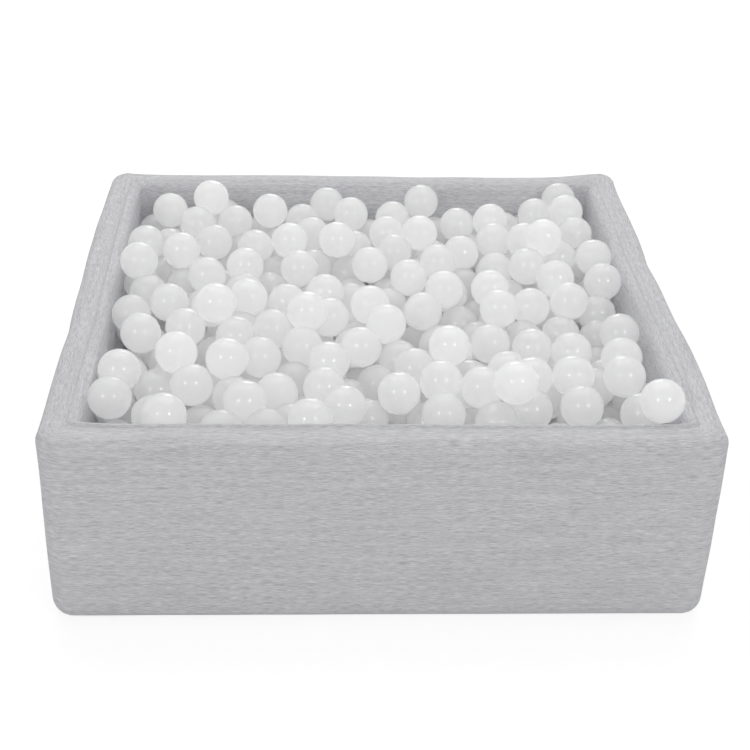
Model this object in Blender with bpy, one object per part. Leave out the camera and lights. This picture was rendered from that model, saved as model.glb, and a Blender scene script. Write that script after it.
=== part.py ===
"""Square foam ball pit: five foam blocks in a zipped jersey cover, filled with loose plastic balls.

Metres, +Z up. The origin is the middle of the footprint, at floor level, and the front faces -Y.
"""

import math

import bmesh
import bpy
import numpy as np
from mathutils import Vector
from mathutils.geometry import delaunay_2d_cdt

# The pit
PIT_WIDTH = 0.900
PIT_HEIGHT = 0.300
WALL_THICKNESS = 0.050
BASE_THICKNESS = 0.050
CORNER_RADIUS = 0.030
INNER_CORNER_RADIUS = 0.008
BOTTOM_RADIUS = 0.030
RIM_OUTER_RADIUS = 0.018
RIM_INNER_RADIUS = 0.012
CORNER_PEAK = 0.005
PEAK_REACH = 0.060
FABRIC = 0.0012
CLEARANCE = 0.0003

# The zip, low on the back
ZIP_HEIGHT = 0.045
ZIP_LENGTH = 0.780
TAPE_WIDTH = 0.012
TAPE_THICKNESS = 0.0008
CHAIN_WIDTH = 0.005
CHAIN_THICKNESS = 0.0022
STOP_LENGTH = 0.004
STOP_RISE = 0.0010
SLIDER_LENGTH = 0.014
SLIDER_WIDTH = 0.010
SLIDER_THICKNESS = 0.0024
BRIDGE_WIDTH = 0.003
BRIDGE_THICKNESS = 0.0010
BRIDGE_LENGTH = 0.0085
TAB_LENGTH = 0.030
TAB_WIDTH = 0.008
TAB_THICKNESS = 0.0012
TAB_BAR = 0.0016
TAB_RIM = 0.0014
TAB_WINDOW = 0.0050

# The balls
BALL_DIAMETER = 0.060
BED_DROP = 0.050
HEAP_RISE = 0.020
SINGLE_BALLS = 26
PLACE_SEED = 1
# How far a hollow's turn in the filling order may slip, as a share of a ball
ORDER_SLIP_SHARE = 0.8
# How far a ball may lie from where the photograph shows it, as a share of a ball
FIND_SHARE = 0.7

# Where the photograph shows the inner corners of the rim: front left, front right, back right, back left
PHOTO_RIM_CORNERS = ((82, 418), (684, 419), (583, 190), (139, 180))
# The eye that sees them, from the middle of the front face at rim height
EYE_SIDE = -0.083
EYE_BACK = 1.654
EYE_RISE = 1.040
# Where it shows the balls of the heap, first those partly under others
PHOTO_BALLS_UNDER = (
    (193, 224), (188, 248), (172, 264), (194, 269), (211, 269), (139, 299), (229, 288), (232, 221),
    (297, 221), (344, 245), (377, 264), (400, 256), (431, 257), (314, 296), (486, 243), (512, 249),
    (461, 257), (575, 242), (555, 261), (490, 267), (534, 268), (566, 282), (580, 286), (496, 296),
    (462, 285), (227, 311), (192, 324), (214, 328), (154, 328), (267, 329), (243, 336), (261, 364),
    (141, 366), (230, 380), (207, 390), (222, 419), (160, 419), (267, 417), (344, 309), (301, 337),
    (387, 333), (342, 337), (306, 415), (344, 415), (440, 410), (488, 368), (594, 373), (533, 373),
    (478, 415), (516, 416), (600, 351), (435, 313),
)
PHOTO_BALLS_OVER = (
    (172, 213), (213, 201), (266, 213), (330, 203), (358, 213), (397, 213), (425, 201), (457, 220),
    (497, 220), (530, 212), (562, 202), (571, 222), (159, 240), (138, 269), (211, 242), (249, 242),
    (285, 248), (318, 233), (381, 239), (417, 232), (539, 241), (586, 260), (241, 264), (271, 268),
    (313, 268), (341, 282), (404, 278), (444, 288), (172, 290), (204, 297), (254, 298), (289, 303),
    (317, 303), (373, 303), (403, 306), (489, 307), (532, 314), (562, 307), (612, 288), (603, 317),
    (132, 317), (131, 356), (172, 346), (235, 353), (204, 362), (287, 360), (325, 353), (362, 356),
    (401, 362), (443, 346), (486, 338), (522, 353), (564, 348), (632, 336), (626, 369), (177, 382),
    (110, 395), (139, 399), (241, 404), (191, 409), (280, 390), (329, 384), (368, 394), (415, 397),
    (451, 384), (482, 390), (517, 392), (563, 378), (592, 404), (553, 403), (623, 399), (652, 403),
)

# How finely the round shapes are cut
CORNER_STEPS = 4
EDGE_STEPS = 3
SIDE_SHARES = (0.03, 0.12, 0.50, 0.88, 0.97)
FACE_SHARES = (0.35, 0.75)
BALL_SEGMENTS = 10
BALL_RINGS = 7
LEAST_POINT_GAP = 0.0035
# A single ball has a seat on each one that it touches and that lies this much lower, as a share of a ball
LEAST_DROP_SHARE = 0.3
# Rings of points round a joined ball's crown: share of its radius, points, and turn as a share of a step
CROWN_RING_SHARES = ((0.55, 5, 0.0), (0.92, 8, 0.5))
# A joined ball lies in a gap if one this near, as shares of a ball, stands this much above it
GAP_REACH_SHARE = 1.2
GAP_DEPTH_SHARE = 1.05
# Between the crowns the bed has points this far apart, and this far out from a crown's middle, as shares of a ball
GAP_PITCH_SHARE = 0.15
GAP_START_SHARE = 0.50
# Rings of points in the cup round a single ball: share of its radius, and points
CUP_RING_SHARES = ((0.40, 5), (0.75, 8), (1.04, 11))
CUP_REACH_SHARE = 1.12
CUP_FLANK_SHARE = 0.94
CUP_GAP = 0.0020
# The blocks of joined balls, as shares of the pit's inner half width: left, right, front and back side
BED_BLOCK_SHARES = (
    # Along the front wall, with a pocket at the left, in the middle and near the right
    (-1.0, -0.80375, -1.0, -0.91625), (-0.80375, -0.17125, -1.0, -0.91625),
    (-0.17125, 0.32125, -1.0, -0.91625), (0.32125, 0.47875, -1.0, -0.91625),
    (0.47875, 0.84625, -1.0, -0.90375), (0.84625, 1.0, -1.0, -0.90375),
    # The front half
    (-1.0, 0.47875, -0.91625, -0.02125), (0.47875, 1.0, -0.90375, -0.02125),
    # The dip in the middle, with a block on either side
    (-1.0, -0.10875, -0.02125, 0.28375), (-0.10875, 0.08375, -0.02125, 0.28375),
    (0.08375, 1.0, -0.02125, 0.28375),
    # The back half
    (-1.0, -0.21625, 0.28375, 0.89125), (-0.21625, 1.0, 0.28375, 0.90375),
    # Along the back wall, with a pocket at the left and right of the middle
    (-1.0, -0.21625, 0.89125, 1.0), (-0.21625, 0.32875, 0.90375, 1.0),
    (0.32875, 0.69625, 0.90375, 1.0), (0.69625, 1.0, 0.90375, 1.0),
)

# Worked out from the sizes above
BALL_RADIUS = BALL_DIAMETER / 2
BALL_SPACING = BALL_DIAMETER + CLEARANCE
HALF = PIT_WIDTH / 2
INNER_HALF = HALF - WALL_THICKNESS
RIM_LEVEL = PIT_HEIGHT - CORNER_PEAK
BALL_REACH = INNER_HALF - BALL_RADIUS - CLEARANCE
BED_EDGE = INNER_HALF - CLEARANCE
BED_LEVEL = PIT_HEIGHT - BED_DROP
TOP_LEVEL = PIT_HEIGHT + HEAP_RISE
LOWEST_BALL = BASE_THICKNESS + BALL_RADIUS + CLEARANCE
SKIN = FABRIC + CLEARANCE
# Places within this share of a ball are the same place
SAME_SHARE = 0.00003
SAME = BALL_DIAMETER * SAME_SHARE
PLACE_DECIMALS = 6
FLAT_ANGLE = math.radians(0.1)


# The scene and its materials

def clear_scene():
    for item in list(bpy.data.objects):
        bpy.data.objects.remove(item)


def make_material(name, colour, roughness, metallic=0.0):
    material = bpy.data.materials.new(name)
    material.use_nodes = True
    shader = material.node_tree.nodes["Principled BSDF"]
    shader.inputs["Base Color"].default_value = (*colour, 1.0)
    shader.inputs["Roughness"].default_value = roughness
    shader.inputs["Metallic"].default_value = metallic
    material.diffuse_color = (*colour, 1.0)
    return material


def jersey():
    return make_material("grey_melange_jersey", (0.52, 0.52, 0.55), 0.95)


def lining():
    return make_material("grey_woven_lining", (0.40, 0.40, 0.43), 0.95)


def foam():
    return make_material("cut_upholstery_foam", (0.86, 0.84, 0.76), 1.0)


def zip_tape():
    return make_material("woven_zip_tape", (0.46, 0.46, 0.49), 0.9)


def zip_coil():
    return make_material("moulded_nylon_zip", (0.50, 0.50, 0.53), 0.45)


def zip_metal():
    return make_material("painted_zinc_zip", (0.55, 0.55, 0.57), 0.35, 0.8)


def ball_plastic():
    return make_material("blown_white_polyethylene", (0.86, 0.86, 0.85), 0.30)


def add_object(name, mesh, material, parent=None):
    mesh.materials.append(material)
    item = bpy.data.objects.new(name, mesh)
    bpy.context.collection.objects.link(item)
    item.parent = parent
    return item


def add_mesh(name, points, faces, material, smooth=False):
    mesh = bpy.data.meshes.new(name)
    mesh.from_pydata([tuple(p) for p in points], [], faces)
    work = bmesh.new()
    work.from_mesh(mesh)
    bmesh.ops.recalc_face_normals(work, faces=work.faces)
    work.to_mesh(mesh)
    work.free()
    if smooth:
        mesh.shade_smooth()
    return add_object(name, mesh, material)


def add_block(name, low, high, material):
    """A plain block between two opposite corners."""
    mesh = bpy.data.meshes.new(name)
    work = bmesh.new()
    bmesh.ops.create_cube(work, size=1)
    low, high = Vector(low), Vector(high)
    bmesh.ops.scale(work, vec=high - low, verts=work.verts)
    bmesh.ops.translate(work, vec=(low + high) / 2, verts=work.verts)
    work.to_mesh(mesh)
    work.free()
    return add_object(name, mesh, material)


# The walls' cross-section: depth in from the outer face, and height

def quarter(centre_depth, centre_height, radius, start, turn):
    """Points of a quarter circle in the cross-section, from one direction to the next."""
    points = []
    for step in range(EDGE_STEPS + 1):
        angle = start + turn * step / EDGE_STEPS
        points.append((centre_depth + radius * math.cos(angle), centre_height + radius * math.sin(angle)))
    return points


def wall_section(inset, foot):
    """From the bottom edge up the outer face, over the rim and down the inner face to foot.

    inset is how far the line lies inside the cover's outer skin.
    """
    quarter_turn = math.pi / 2
    bottom = BOTTOM_RADIUS
    outer = RIM_OUTER_RADIUS
    inner = RIM_INNER_RADIUS
    line = quarter(bottom, bottom + CLEARANCE, bottom - inset, -quarter_turn, -quarter_turn)
    for share in FACE_SHARES:
        line.append((inset, bottom + share * (RIM_LEVEL - outer - bottom)))
    line += quarter(outer, RIM_LEVEL - outer, outer - inset, math.pi, -quarter_turn)
    line += quarter(WALL_THICKNESS - inner, RIM_LEVEL - inner, inner - inset, quarter_turn, -quarter_turn)
    line.append((WALL_THICKNESS - inset, foot))
    return line


def corner_centre(depth):
    """Half size of the straight stretch and radius of the rounded corner, at a depth in the wall."""
    radius = max(CORNER_RADIUS - depth, INNER_CORNER_RADIUS)
    return HALF - depth - radius, radius


def turned(point, side):
    """A point of the front side, turned to one of the four sides."""
    for _ in range(side):
        point = (-point[1], point[0])
    return point


def rise_near_corner(along, height):
    """How far the taut cloth stands up towards a corner of the rim."""
    away = (HALF - abs(along)) / PEAK_REACH
    up = max(0.0, height - RIM_LEVEL / 2) / (RIM_LEVEL / 2)
    return CORNER_PEAK * up * math.exp(-away * away)


def path_round(depth, height, peak=0.0):
    """Points once round the pit at one depth and height, from the front left corner on.

    peak is the share of the corners' rise that this line follows.
    """
    straight, radius = corner_centre(depth)
    points = []
    for side in range(4):
        for step in range(CORNER_STEPS + 1):
            angle = math.pi + math.pi / 2 * step / CORNER_STEPS
            x = -straight + radius * math.cos(angle)
            y = -straight + radius * math.sin(angle)
            points.append((*turned((x, y), side), height + peak * rise_near_corner(x, height)))
        for share in SIDE_SHARES:
            x = straight * (2 * share - 1)
            y = -straight - radius
            points.append((*turned((x, y), side), height + peak * rise_near_corner(x, height)))
    return points


def ring_faces(rows, count, closed_rows):
    """Quads between rows of points that each go round; closed_rows joins the last row to the first."""
    faces = []
    for row in range(rows if closed_rows else rows - 1):
        following = (row + 1) % rows
        for k in range(count):
            after = (k + 1) % count
            faces.append((row * count + k, row * count + after, following * count + after, following * count + k))
    return faces


# The cover

def cover_sleeve(material):
    """One tube of cloth: up the outside, over the rim and down the inside."""
    foot = BASE_THICKNESS - FABRIC
    skin_out = wall_section(0.0, foot)
    skin_in = wall_section(FABRIC, foot)
    loops = [path_round(depth, height, 1.0) for depth, height in skin_out + skin_in[::-1]]
    points = [point for loop in loops for point in loop]
    faces = ring_faces(len(loops), len(loops[0]), True)
    return add_mesh("cover_sleeve", points, faces, material, smooth=True)


def flat_panel(name, depth, low, high, material):
    """A flat panel or block with the walls' rounded corners."""
    bottom = path_round(depth, low)
    top = path_round(depth, high)
    count = len(bottom)
    faces = ring_faces(2, count, False)
    faces.append(tuple(range(count))[::-1])
    faces.append(tuple(range(count, 2 * count)))
    return add_mesh(name, bottom + top, faces, material)


def cover_floor(material):
    depth = WALL_THICKNESS + CLEARANCE
    return flat_panel("cover_floor", depth, BASE_THICKNESS - FABRIC, BASE_THICKNESS, material)


def cover_underside(material):
    return flat_panel("cover_underside", BOTTOM_RADIUS + CLEARANCE, 0.0, FABRIC, material)


# The foam blocks

def foam_wall(name, side, material):
    """One wall block, mitred at both ends."""
    section = wall_section(SKIN, SKIN)
    stations = []
    half_steps = CORNER_STEPS // 2
    for end in (-1, 1):
        for step in range(half_steps + 1):
            turn = step if end < 0 else half_steps - step
            angle = math.pi / 4 * (1 + turn / half_steps)
            loop = []
            for depth, height in section:
                straight, radius = corner_centre(depth)
                x = end * (straight + radius * math.cos(angle) - CLEARANCE)
                y = -straight - radius * math.sin(angle)
                loop.append((*turned((x, y), side), height))
            stations.append(loop)
    count = len(section)
    points = [point for loop in stations for point in loop]
    faces = ring_faces(len(stations), count, False)
    faces.append(tuple(range(count)))
    faces.append(tuple(range(len(points) - count, len(points)))[::-1])
    return add_mesh(name, points, faces, material)


def foam_base(material):
    """The floor block, between the four walls."""
    depth = WALL_THICKNESS - SKIN + CLEARANCE
    return flat_panel("foam_base", depth, SKIN, BASE_THICKNESS - SKIN, material)


# The zip

def zip_front():
    """Where the zip's parts start, just off the back face."""
    return HALF + CLEARANCE


def zip_tape_strip(name, side, material):
    near = CHAIN_WIDTH / 2 + CLEARANCE
    far = near + TAPE_WIDTH
    low, high = sorted((ZIP_HEIGHT + side * near, ZIP_HEIGHT + side * far))
    front = zip_front()
    corner_a = (-ZIP_LENGTH / 2, front, low)
    corner_b = (ZIP_LENGTH / 2, front + TAPE_THICKNESS, high)
    return add_block(name, corner_a, corner_b, material)


def zip_chain(material):
    half_run = ZIP_LENGTH / 2 - STOP_LENGTH - CLEARANCE
    front = zip_front()
    corner_a = (-half_run, front, ZIP_HEIGHT - CHAIN_WIDTH / 2)
    corner_b = (half_run, front + CHAIN_THICKNESS, ZIP_HEIGHT + CHAIN_WIDTH / 2)
    return add_block("zip_chain", corner_a, corner_b, material)


def zip_stop(name, side, material):
    front = zip_front()
    near, far = sorted((side * ZIP_LENGTH / 2, side * (ZIP_LENGTH / 2 - STOP_LENGTH)))
    corner_a = (near, front, ZIP_HEIGHT - CHAIN_WIDTH / 2)
    corner_b = (far, front + CHAIN_THICKNESS + STOP_RISE, ZIP_HEIGHT + CHAIN_WIDTH / 2)
    return add_block(name, corner_a, corner_b, material)


def turning_room():
    """How far the tab's bar needs on each side of its axis to turn."""
    return math.hypot(TAB_THICKNESS, TAB_BAR) / 2 + CLEARANCE


def slider_place():
    """Middle of the slider when the zip is shut, at its back face."""
    x = -ZIP_LENGTH / 2 + STOP_LENGTH + CLEARANCE + SLIDER_LENGTH / 2
    y = zip_front() + CHAIN_THICKNESS + CLEARANCE
    return Vector((x, y, ZIP_HEIGHT))


def zip_slider(material):
    """The slider's plate with its bridge, which the pull tab hangs in."""
    place = slider_place()
    under = SLIDER_THICKNESS
    gap = 2 * turning_room()
    top = under + gap + BRIDGE_THICKNESS
    post = BRIDGE_THICKNESS
    half = BRIDGE_LENGTH / 2
    wide = SLIDER_LENGTH / 2
    # The outline, seen from above, of the bridge and the plate's middle
    arch = [
        (-wide, 0.0), (wide, 0.0), (wide, under), (half, under), (half, top), (-half, top), (-half, under),
        (-wide, under),
    ]
    window = [
        (-half + post, under), (half - post, under), (half - post, under + gap), (-half + post, under + gap),
    ]
    points = []
    for level in (-BRIDGE_WIDTH / 2, BRIDGE_WIDTH / 2):
        for x, y in arch + window:
            points.append((x, y, level))
    for level in (-SLIDER_WIDTH / 2, SLIDER_WIDTH / 2):
        for x, y in ((-wide, 0.0), (wide, 0.0), (wide, under), (-wide, under)):
            points.append((x, y, level))
    low = [0, 1, 2, 3, 4, 5, 6, 7]
    hole = [8, 9, 10, 11]
    shift = len(arch) + len(window)
    first = 2 * shift
    faces = []
    for base, wing in ((0, first), (shift, first + 4)):
        # The bridge's two flat sides: posts and bar
        faces.append((base + 3, base + 4, base + 10, base + 9))
        faces.append((base + 4, base + 5, base + 11, base + 10))
        faces.append((base + 5, base + 6, base + 8, base + 11))
        # The plate's top beside the bridge, and the wing's sides
        faces.append((base + 7, base + 6, base + 8, base + 9, base + 3, base + 2, wing + 2, wing + 3))
        faces.append((base + 0, base + 1, wing + 1, wing + 0))
        faces.append((base + 1, base + 2, wing + 2, wing + 1))
        faces.append((base + 7, base + 0, wing + 0, wing + 3))
        faces.append((wing + 0, wing + 1, wing + 2, wing + 3))
    for a, b in zip(low, low[1:] + low[:1]):
        faces.append((a, b, b + shift, a + shift))
    for a, b in zip(hole, hole[1:] + hole[:1]):
        faces.append((a, b, b + shift, a + shift))
    slider = add_mesh("zip_slider", points, faces, material)
    slider.location = place
    return slider


def tab_axis():
    """Middle of the tab's end bar, which turns under the slider's bridge."""
    return slider_place() + Vector((0.0, SLIDER_THICKNESS + turning_room(), 0.0))


def zip_pull_tab(material):
    """A flat tab with a window: the bar at its end turns under the slider's bridge."""
    half_thick = TAB_THICKNESS / 2
    outer = ((-TAB_BAR / 2, -TAB_WIDTH / 2), (TAB_LENGTH, -TAB_WIDTH / 2),
             (TAB_LENGTH, TAB_WIDTH / 2), (-TAB_BAR / 2, TAB_WIDTH / 2))
    window_low = TAB_WIDTH / 2 - TAB_RIM
    window_end = TAB_BAR / 2 + TAB_WINDOW
    inner = ((TAB_BAR / 2, -window_low), (window_end, -window_low),
             (window_end, window_low), (TAB_BAR / 2, window_low))
    points = []
    for level in (-half_thick, half_thick):
        points += [(x, level, z) for x, z in outer + inner]
    faces = []
    for k in range(4):
        after = (k + 1) % 4
        faces.append((k, after, after + 4, k + 4))
        faces.append((k + 8, k + 12, after + 12, after + 8))
        faces.append((k, k + 8, after + 8, after))
        faces.append((k + 4, after + 4, after + 12, k + 12))
    tab = add_mesh("zip_pull_tab", points, faces, material)
    tab.location = tab_axis()
    return tab


# Where the balls lie: each one rests in a hollow between those already there

def first_layer():
    """The balls on the floor, in staggered rows from wall to wall."""
    across = int(2 * BALL_REACH / BALL_SPACING)
    pitch = 2 * BALL_REACH / across
    rows = int(2 * BALL_REACH / (pitch * math.sqrt(3) / 2))
    places = []
    for row in range(rows + 1):
        stagger = row % 2
        for k in range(across + 1 - stagger):
            x = -BALL_REACH + (k + stagger / 2) * pitch
            places.append((x, -BALL_REACH + row * 2 * BALL_REACH / rows, LOWEST_BALL))
    return np.array(places).round(PLACE_DECIMALS)


def hollows_on_three(ball, near):
    """Places where one more ball would rest on this ball and two near it."""
    i, j = np.triu_indices(len(near), 1)
    a, b = near[i] - ball, near[j] - ball
    aa, bb, ab = (a * a).sum(1), (b * b).sum(1), (a * b).sum(1)
    square = aa * bb - ab * ab
    apart = square > aa * bb * SAME_SHARE
    a, b, aa, bb, ab, square = a[apart], b[apart], aa[apart], bb[apart], ab[apart], square[apart]
    share_a = bb * (aa - ab) / (2 * square)
    share_b = aa * (bb - ab) / (2 * square)
    middle = share_a[:, None] * a + share_b[:, None] * b
    normal = np.cross(a, b)
    normal *= np.sign(normal[:, 2:3])
    rise = BALL_SPACING ** 2 - (middle * middle).sum(1)
    usable = (rise > 0) & (normal[:, 2] > 0)
    a, b, middle, normal, rise = a[usable], b[usable], middle[usable], normal[usable], rise[usable]
    normal /= np.linalg.norm(normal, axis=1, keepdims=True)
    top = middle + normal * np.sqrt(rise)[:, None]
    # It stays there only if it is over the triangle of the three
    turn = a[:, 0] * b[:, 1] - a[:, 1] * b[:, 0]
    s = (top[:, 0] * b[:, 1] - top[:, 1] * b[:, 0]) / turn
    t = (a[:, 0] * top[:, 1] - a[:, 1] * top[:, 0]) / turn
    stable = (s > 0) & (t > 0) & (s + t < 1)
    return top[stable] + ball


def hollows_at_wall(ball, near):
    """Places where one more ball would rest on this ball and one near it, against a wall."""
    found = []
    for axis in (0, 1):
        along = 1 - axis
        for wall in (-BALL_REACH, BALL_REACH):
            ball_reach = BALL_SPACING ** 2 - (wall - ball[axis]) ** 2
            if ball_reach <= 0:
                continue
            for other in near:
                other_reach = BALL_SPACING ** 2 - (wall - other[axis]) ** 2
                across, up = other[along] - ball[along], other[2] - ball[2]
                apart = math.hypot(across, up)
                if other_reach <= 0 or abs(across) < SAME:
                    continue
                foot = (ball_reach - other_reach + apart ** 2) / (2 * apart)
                rise = ball_reach - foot ** 2
                if rise < 0:
                    continue
                lean = math.copysign(math.sqrt(rise), across)
                place = np.zeros(3)
                place[axis] = wall
                place[along] = ball[along] + (foot * across - lean * up) / apart
                place[2] = ball[2] + (foot * up + lean * across) / apart
                if min(ball[along], other[along]) < place[along] < max(ball[along], other[along]):
                    found.append(place)
    return np.array(found).reshape(-1, 3)


def hollows_in_corner(ball):
    """Places where one more ball would rest on this ball, in a corner of the pit."""
    found = []
    for x in (-BALL_REACH, BALL_REACH):
        for y in (-BALL_REACH, BALL_REACH):
            rise = BALL_SPACING ** 2 - (x - ball[0]) ** 2 - (y - ball[1]) ** 2
            if rise > 0:
                found.append((x, y, ball[2] + math.sqrt(rise)))
    return np.array(found).reshape(-1, 3)


def distances(places, point):
    return np.linalg.norm(places - point, axis=1)


def new_hollows(balls, ball):
    """The free hollows that a ball makes with those around it."""
    away = distances(balls, ball)
    near = balls[(away > SAME) & (away < 2 * BALL_SPACING)]
    found = np.concatenate([hollows_on_three(ball, near), hollows_at_wall(ball, near), hollows_in_corner(ball)])
    found = found[(np.abs(found[:, :2]) <= BALL_REACH + SAME).all(1)]
    if len(found) == 0:
        return found
    around = balls[away < 3 * BALL_SPACING]
    nearest = np.linalg.norm(found[:, None] - around[None], axis=2).min(1)
    return np.unique(found[nearest >= BALL_SPACING - SAME].round(PLACE_DECIMALS), axis=0)


def photo_to_rim():
    """The perspective map from the photograph to the plane of the rim."""
    goal = ((-INNER_HALF, -INNER_HALF), (INNER_HALF, -INNER_HALF), (INNER_HALF, INNER_HALF), (-INNER_HALF, INNER_HALF))
    rows, right = [], []
    for (u, v), (x, y) in zip(PHOTO_RIM_CORNERS, goal):
        rows.append([u, v, 1, 0, 0, 0, -u * x, -v * x])
        rows.append([0, 0, 0, u, v, 1, -u * y, -v * y])
        right += [x, y]
    return np.append(np.linalg.solve(np.array(rows, float), np.array(right, float)), 1).reshape(3, 3)


def seen_on_rim(places):
    """Where places in the pit are seen on the plane of the rim."""
    eye = np.array((EYE_SIDE, -HALF - EYE_BACK, RIM_LEVEL + EYE_RISE))
    shares = (eye[2] - RIM_LEVEL) / (eye[2] - places[:, 2])
    return eye[:2] + (places[:, :2] - eye[:2]) * shares[:, None]


def ball_places():
    """The middles of all the balls: the floor's rows, the bed over them, and the heap as photographed."""
    draw = np.random.default_rng(PLACE_SEED)
    balls = first_layer()
    hollows, turns = np.empty((0, 3)), np.empty(0)

    def with_ball(balls, hollows, turns, place):
        free = distances(hollows, place) >= BALL_SPACING - SAME
        balls = np.vstack([balls, place])
        found = new_hollows(balls, place)
        slip = draw.random(len(found)) * ORDER_SLIP_SHARE * BALL_SPACING
        return balls, np.vstack([hollows[free], found]), np.append(turns[free], found[:, 2] + slip)

    for place in balls:
        found = new_hollows(balls, place)
        hollows = np.vstack([hollows, found])
        turns = np.append(turns, found[:, 2])
    while True:
        open_turns = np.where(hollows[:, 2] <= BED_LEVEL, turns, np.inf)
        k = int(np.argmin(open_turns))
        if open_turns[k] == np.inf:
            break
        balls, hollows, turns = with_ball(balls, hollows, turns, hollows[k])
    to_rim = photo_to_rim()
    for u, v in PHOTO_BALLS_UNDER + PHOTO_BALLS_OVER:
        want = to_rim @ (u, v, 1)
        away = distances(seen_on_rim(hollows), want[:2] / want[2])
        away = np.where(hollows[:, 2] <= TOP_LEVEL, away, np.inf)
        k = int(np.argmin(away))
        if away[k] < FIND_SHARE * BALL_SPACING:
            balls, hollows, turns = with_ball(balls, hollows, turns, hollows[k])
    return balls


def free_to_lift(balls):
    """Which balls have none above them, the highest first."""
    order = np.argsort(-balls[:, 2], kind="stable")
    free = []
    for k in order:
        aside = distances(balls[:, :2], balls[k, :2])
        over = (aside < BALL_SPACING) & (balls[:, 2] > balls[k, 2] + SAME)
        if not over.any():
            free.append(int(k))
    return free


def split_balls():
    """The balls that are pieces of their own, front to back, and the rest."""
    balls = ball_places()
    chosen = free_to_lift(balls)[:SINGLE_BALLS]
    chosen.sort(key=lambda k: (balls[k, 1], balls[k, 0]))
    rest = np.delete(balls, chosen, axis=0)
    return balls[chosen], rest


def crown_height(rest, x, y):
    """Height of the joined balls' upper side over one spot."""
    aside = (rest[:, 0] - x) ** 2 + (rest[:, 1] - y) ** 2
    under = aside < BALL_RADIUS ** 2
    if not under.any():
        return LOWEST_BALL
    return float((rest[under, 2] + np.sqrt(BALL_RADIUS ** 2 - aside[under])).max())


def cup_height(singles, x, y):
    """The most height that the single balls leave the joined ones over one spot."""
    aside = np.hypot(singles[:, 0] - x, singles[:, 1] - y)
    over = aside < CUP_REACH_SHARE * BALL_RADIUS
    if not over.any():
        return math.inf
    flank = np.minimum(aside[over], CUP_FLANK_SHARE * BALL_RADIUS)
    return float((singles[over, 2] - np.sqrt(BALL_RADIUS ** 2 - flank ** 2)).min()) - CUP_GAP


def ring_points(ball, count, share, lag=0.0):
    """Spots round a ball's middle, as seen from above."""
    spots = []
    for k in range(count):
        angle = 2 * math.pi * (k + lag) / count
        x = ball[0] + share * BALL_RADIUS * math.cos(angle)
        y = ball[1] + share * BALL_RADIUS * math.sin(angle)
        spots.append((x, y))
    return spots


def supports(single, rest):
    """The joined balls that a single one touches, the lowest first."""
    touching = rest[distances(rest, single) < BALL_SPACING + SAME]
    return touching[np.argsort(touching[:, 2], kind="stable")]


def is_crowned(rest, ball):
    """Whether a joined ball's top is in sight and not at the bottom of a gap."""
    aside = distances(rest[:, :2], ball[:2])
    if rest[aside < GAP_REACH_SHARE * BALL_SPACING, 2].max() > ball[2] + GAP_DEPTH_SHARE * BALL_SPACING:
        return False
    return crown_height(rest, ball[0], ball[1]) <= ball[2] + BALL_RADIUS + SAME


def bed_points(singles, rest):
    """Points over the joined balls: the cups round the single ones, then their own crowns and skirts."""
    points = []

    def add(x, y):
        if max(abs(x), abs(y)) > BED_EDGE - LEAST_POINT_GAP:
            return
        if all((x - p[0]) ** 2 + (y - p[1]) ** 2 > LEAST_POINT_GAP ** 2 for p in points):
            points.append((x, y, min(crown_height(rest, x, y), cup_height(singles, x, y))))

    for single in singles:
        for support in supports(single, rest):
            if support[2] < single[2] - LEAST_DROP_SHARE * BALL_SPACING:
                seat = support + (single - support) * (BALL_RADIUS / BALL_SPACING)
                points.append(tuple(seat))
    for single in singles:
        add(single[0], single[1])
    for share, count in CUP_RING_SHARES:
        for single in singles:
            for x, y in ring_points(single, count, share):
                add(x, y)
    crowned = [ball for ball in rest if is_crowned(rest, ball)]
    for ball in crowned:
        add(ball[0], ball[1])
    for share, count, lag in CROWN_RING_SHARES:
        height = BALL_RADIUS * math.sqrt(1 - share ** 2)
        for ball in crowned:
            for x, y in ring_points(ball, count, share, lag):
                if crown_height(rest, x, y) <= ball[2] + height + SAME:
                    add(x, y)
    crowns = np.array(crowned)[:, :2]
    spots = int(2 * BED_EDGE / (GAP_PITCH_SHARE * BALL_DIAMETER))
    for row in range(1, spots):
        for column in range(1, spots):
            x, y = BED_EDGE * (2 * column / spots - 1), BED_EDGE * (2 * row / spots - 1)
            if distances(crowns, (x, y)).min() > GAP_START_SHARE * BALL_DIAMETER:
                add(x, y)
    count = int(2 * BED_EDGE / BALL_RADIUS)
    inward = BALL_REACH / BED_EDGE
    for k in range(count + 1):
        along = (BED_EDGE - INNER_CORNER_RADIUS) * (2 * k / count - 1)
        for x, y in ((along, -BED_EDGE), (BED_EDGE, along), (-along, BED_EDGE), (-BED_EDGE, -along)):
            height = crown_height(rest, x * inward, y * inward) - BALL_RADIUS
            points.append((x, y, min(height, cup_height(singles, x, y))))
    return points


def joined_balls(singles, rest):
    """The balls under and between the single ones, joined: their upper side, and a flat foot on the floor."""
    points = bed_points(singles, rest)
    flat = [Vector((x, y)) for x, y, _ in points]
    places, _, triangles, origins, _, _ = delaunay_2d_cdt(flat, [], [], 0, SAME)
    work = bmesh.new()
    top = [work.verts.new((p.x, p.y, points[source[0]][2])) for p, source in zip(places, origins)]
    for face in triangles:
        work.faces.new([top[k] for k in face])
    skirt = bmesh.ops.extrude_edge_only(work, edges=[edge for edge in work.edges if edge.is_boundary])
    for item in skirt["geom"]:
        if isinstance(item, bmesh.types.BMVert):
            item.co.z = BASE_THICKNESS + CLEARANCE
    fill_open_side(work)
    return work


def fill_open_side(work):
    bmesh.ops.holes_fill(work, edges=[edge for edge in work.edges if edge.is_boundary], sides=0)


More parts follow.
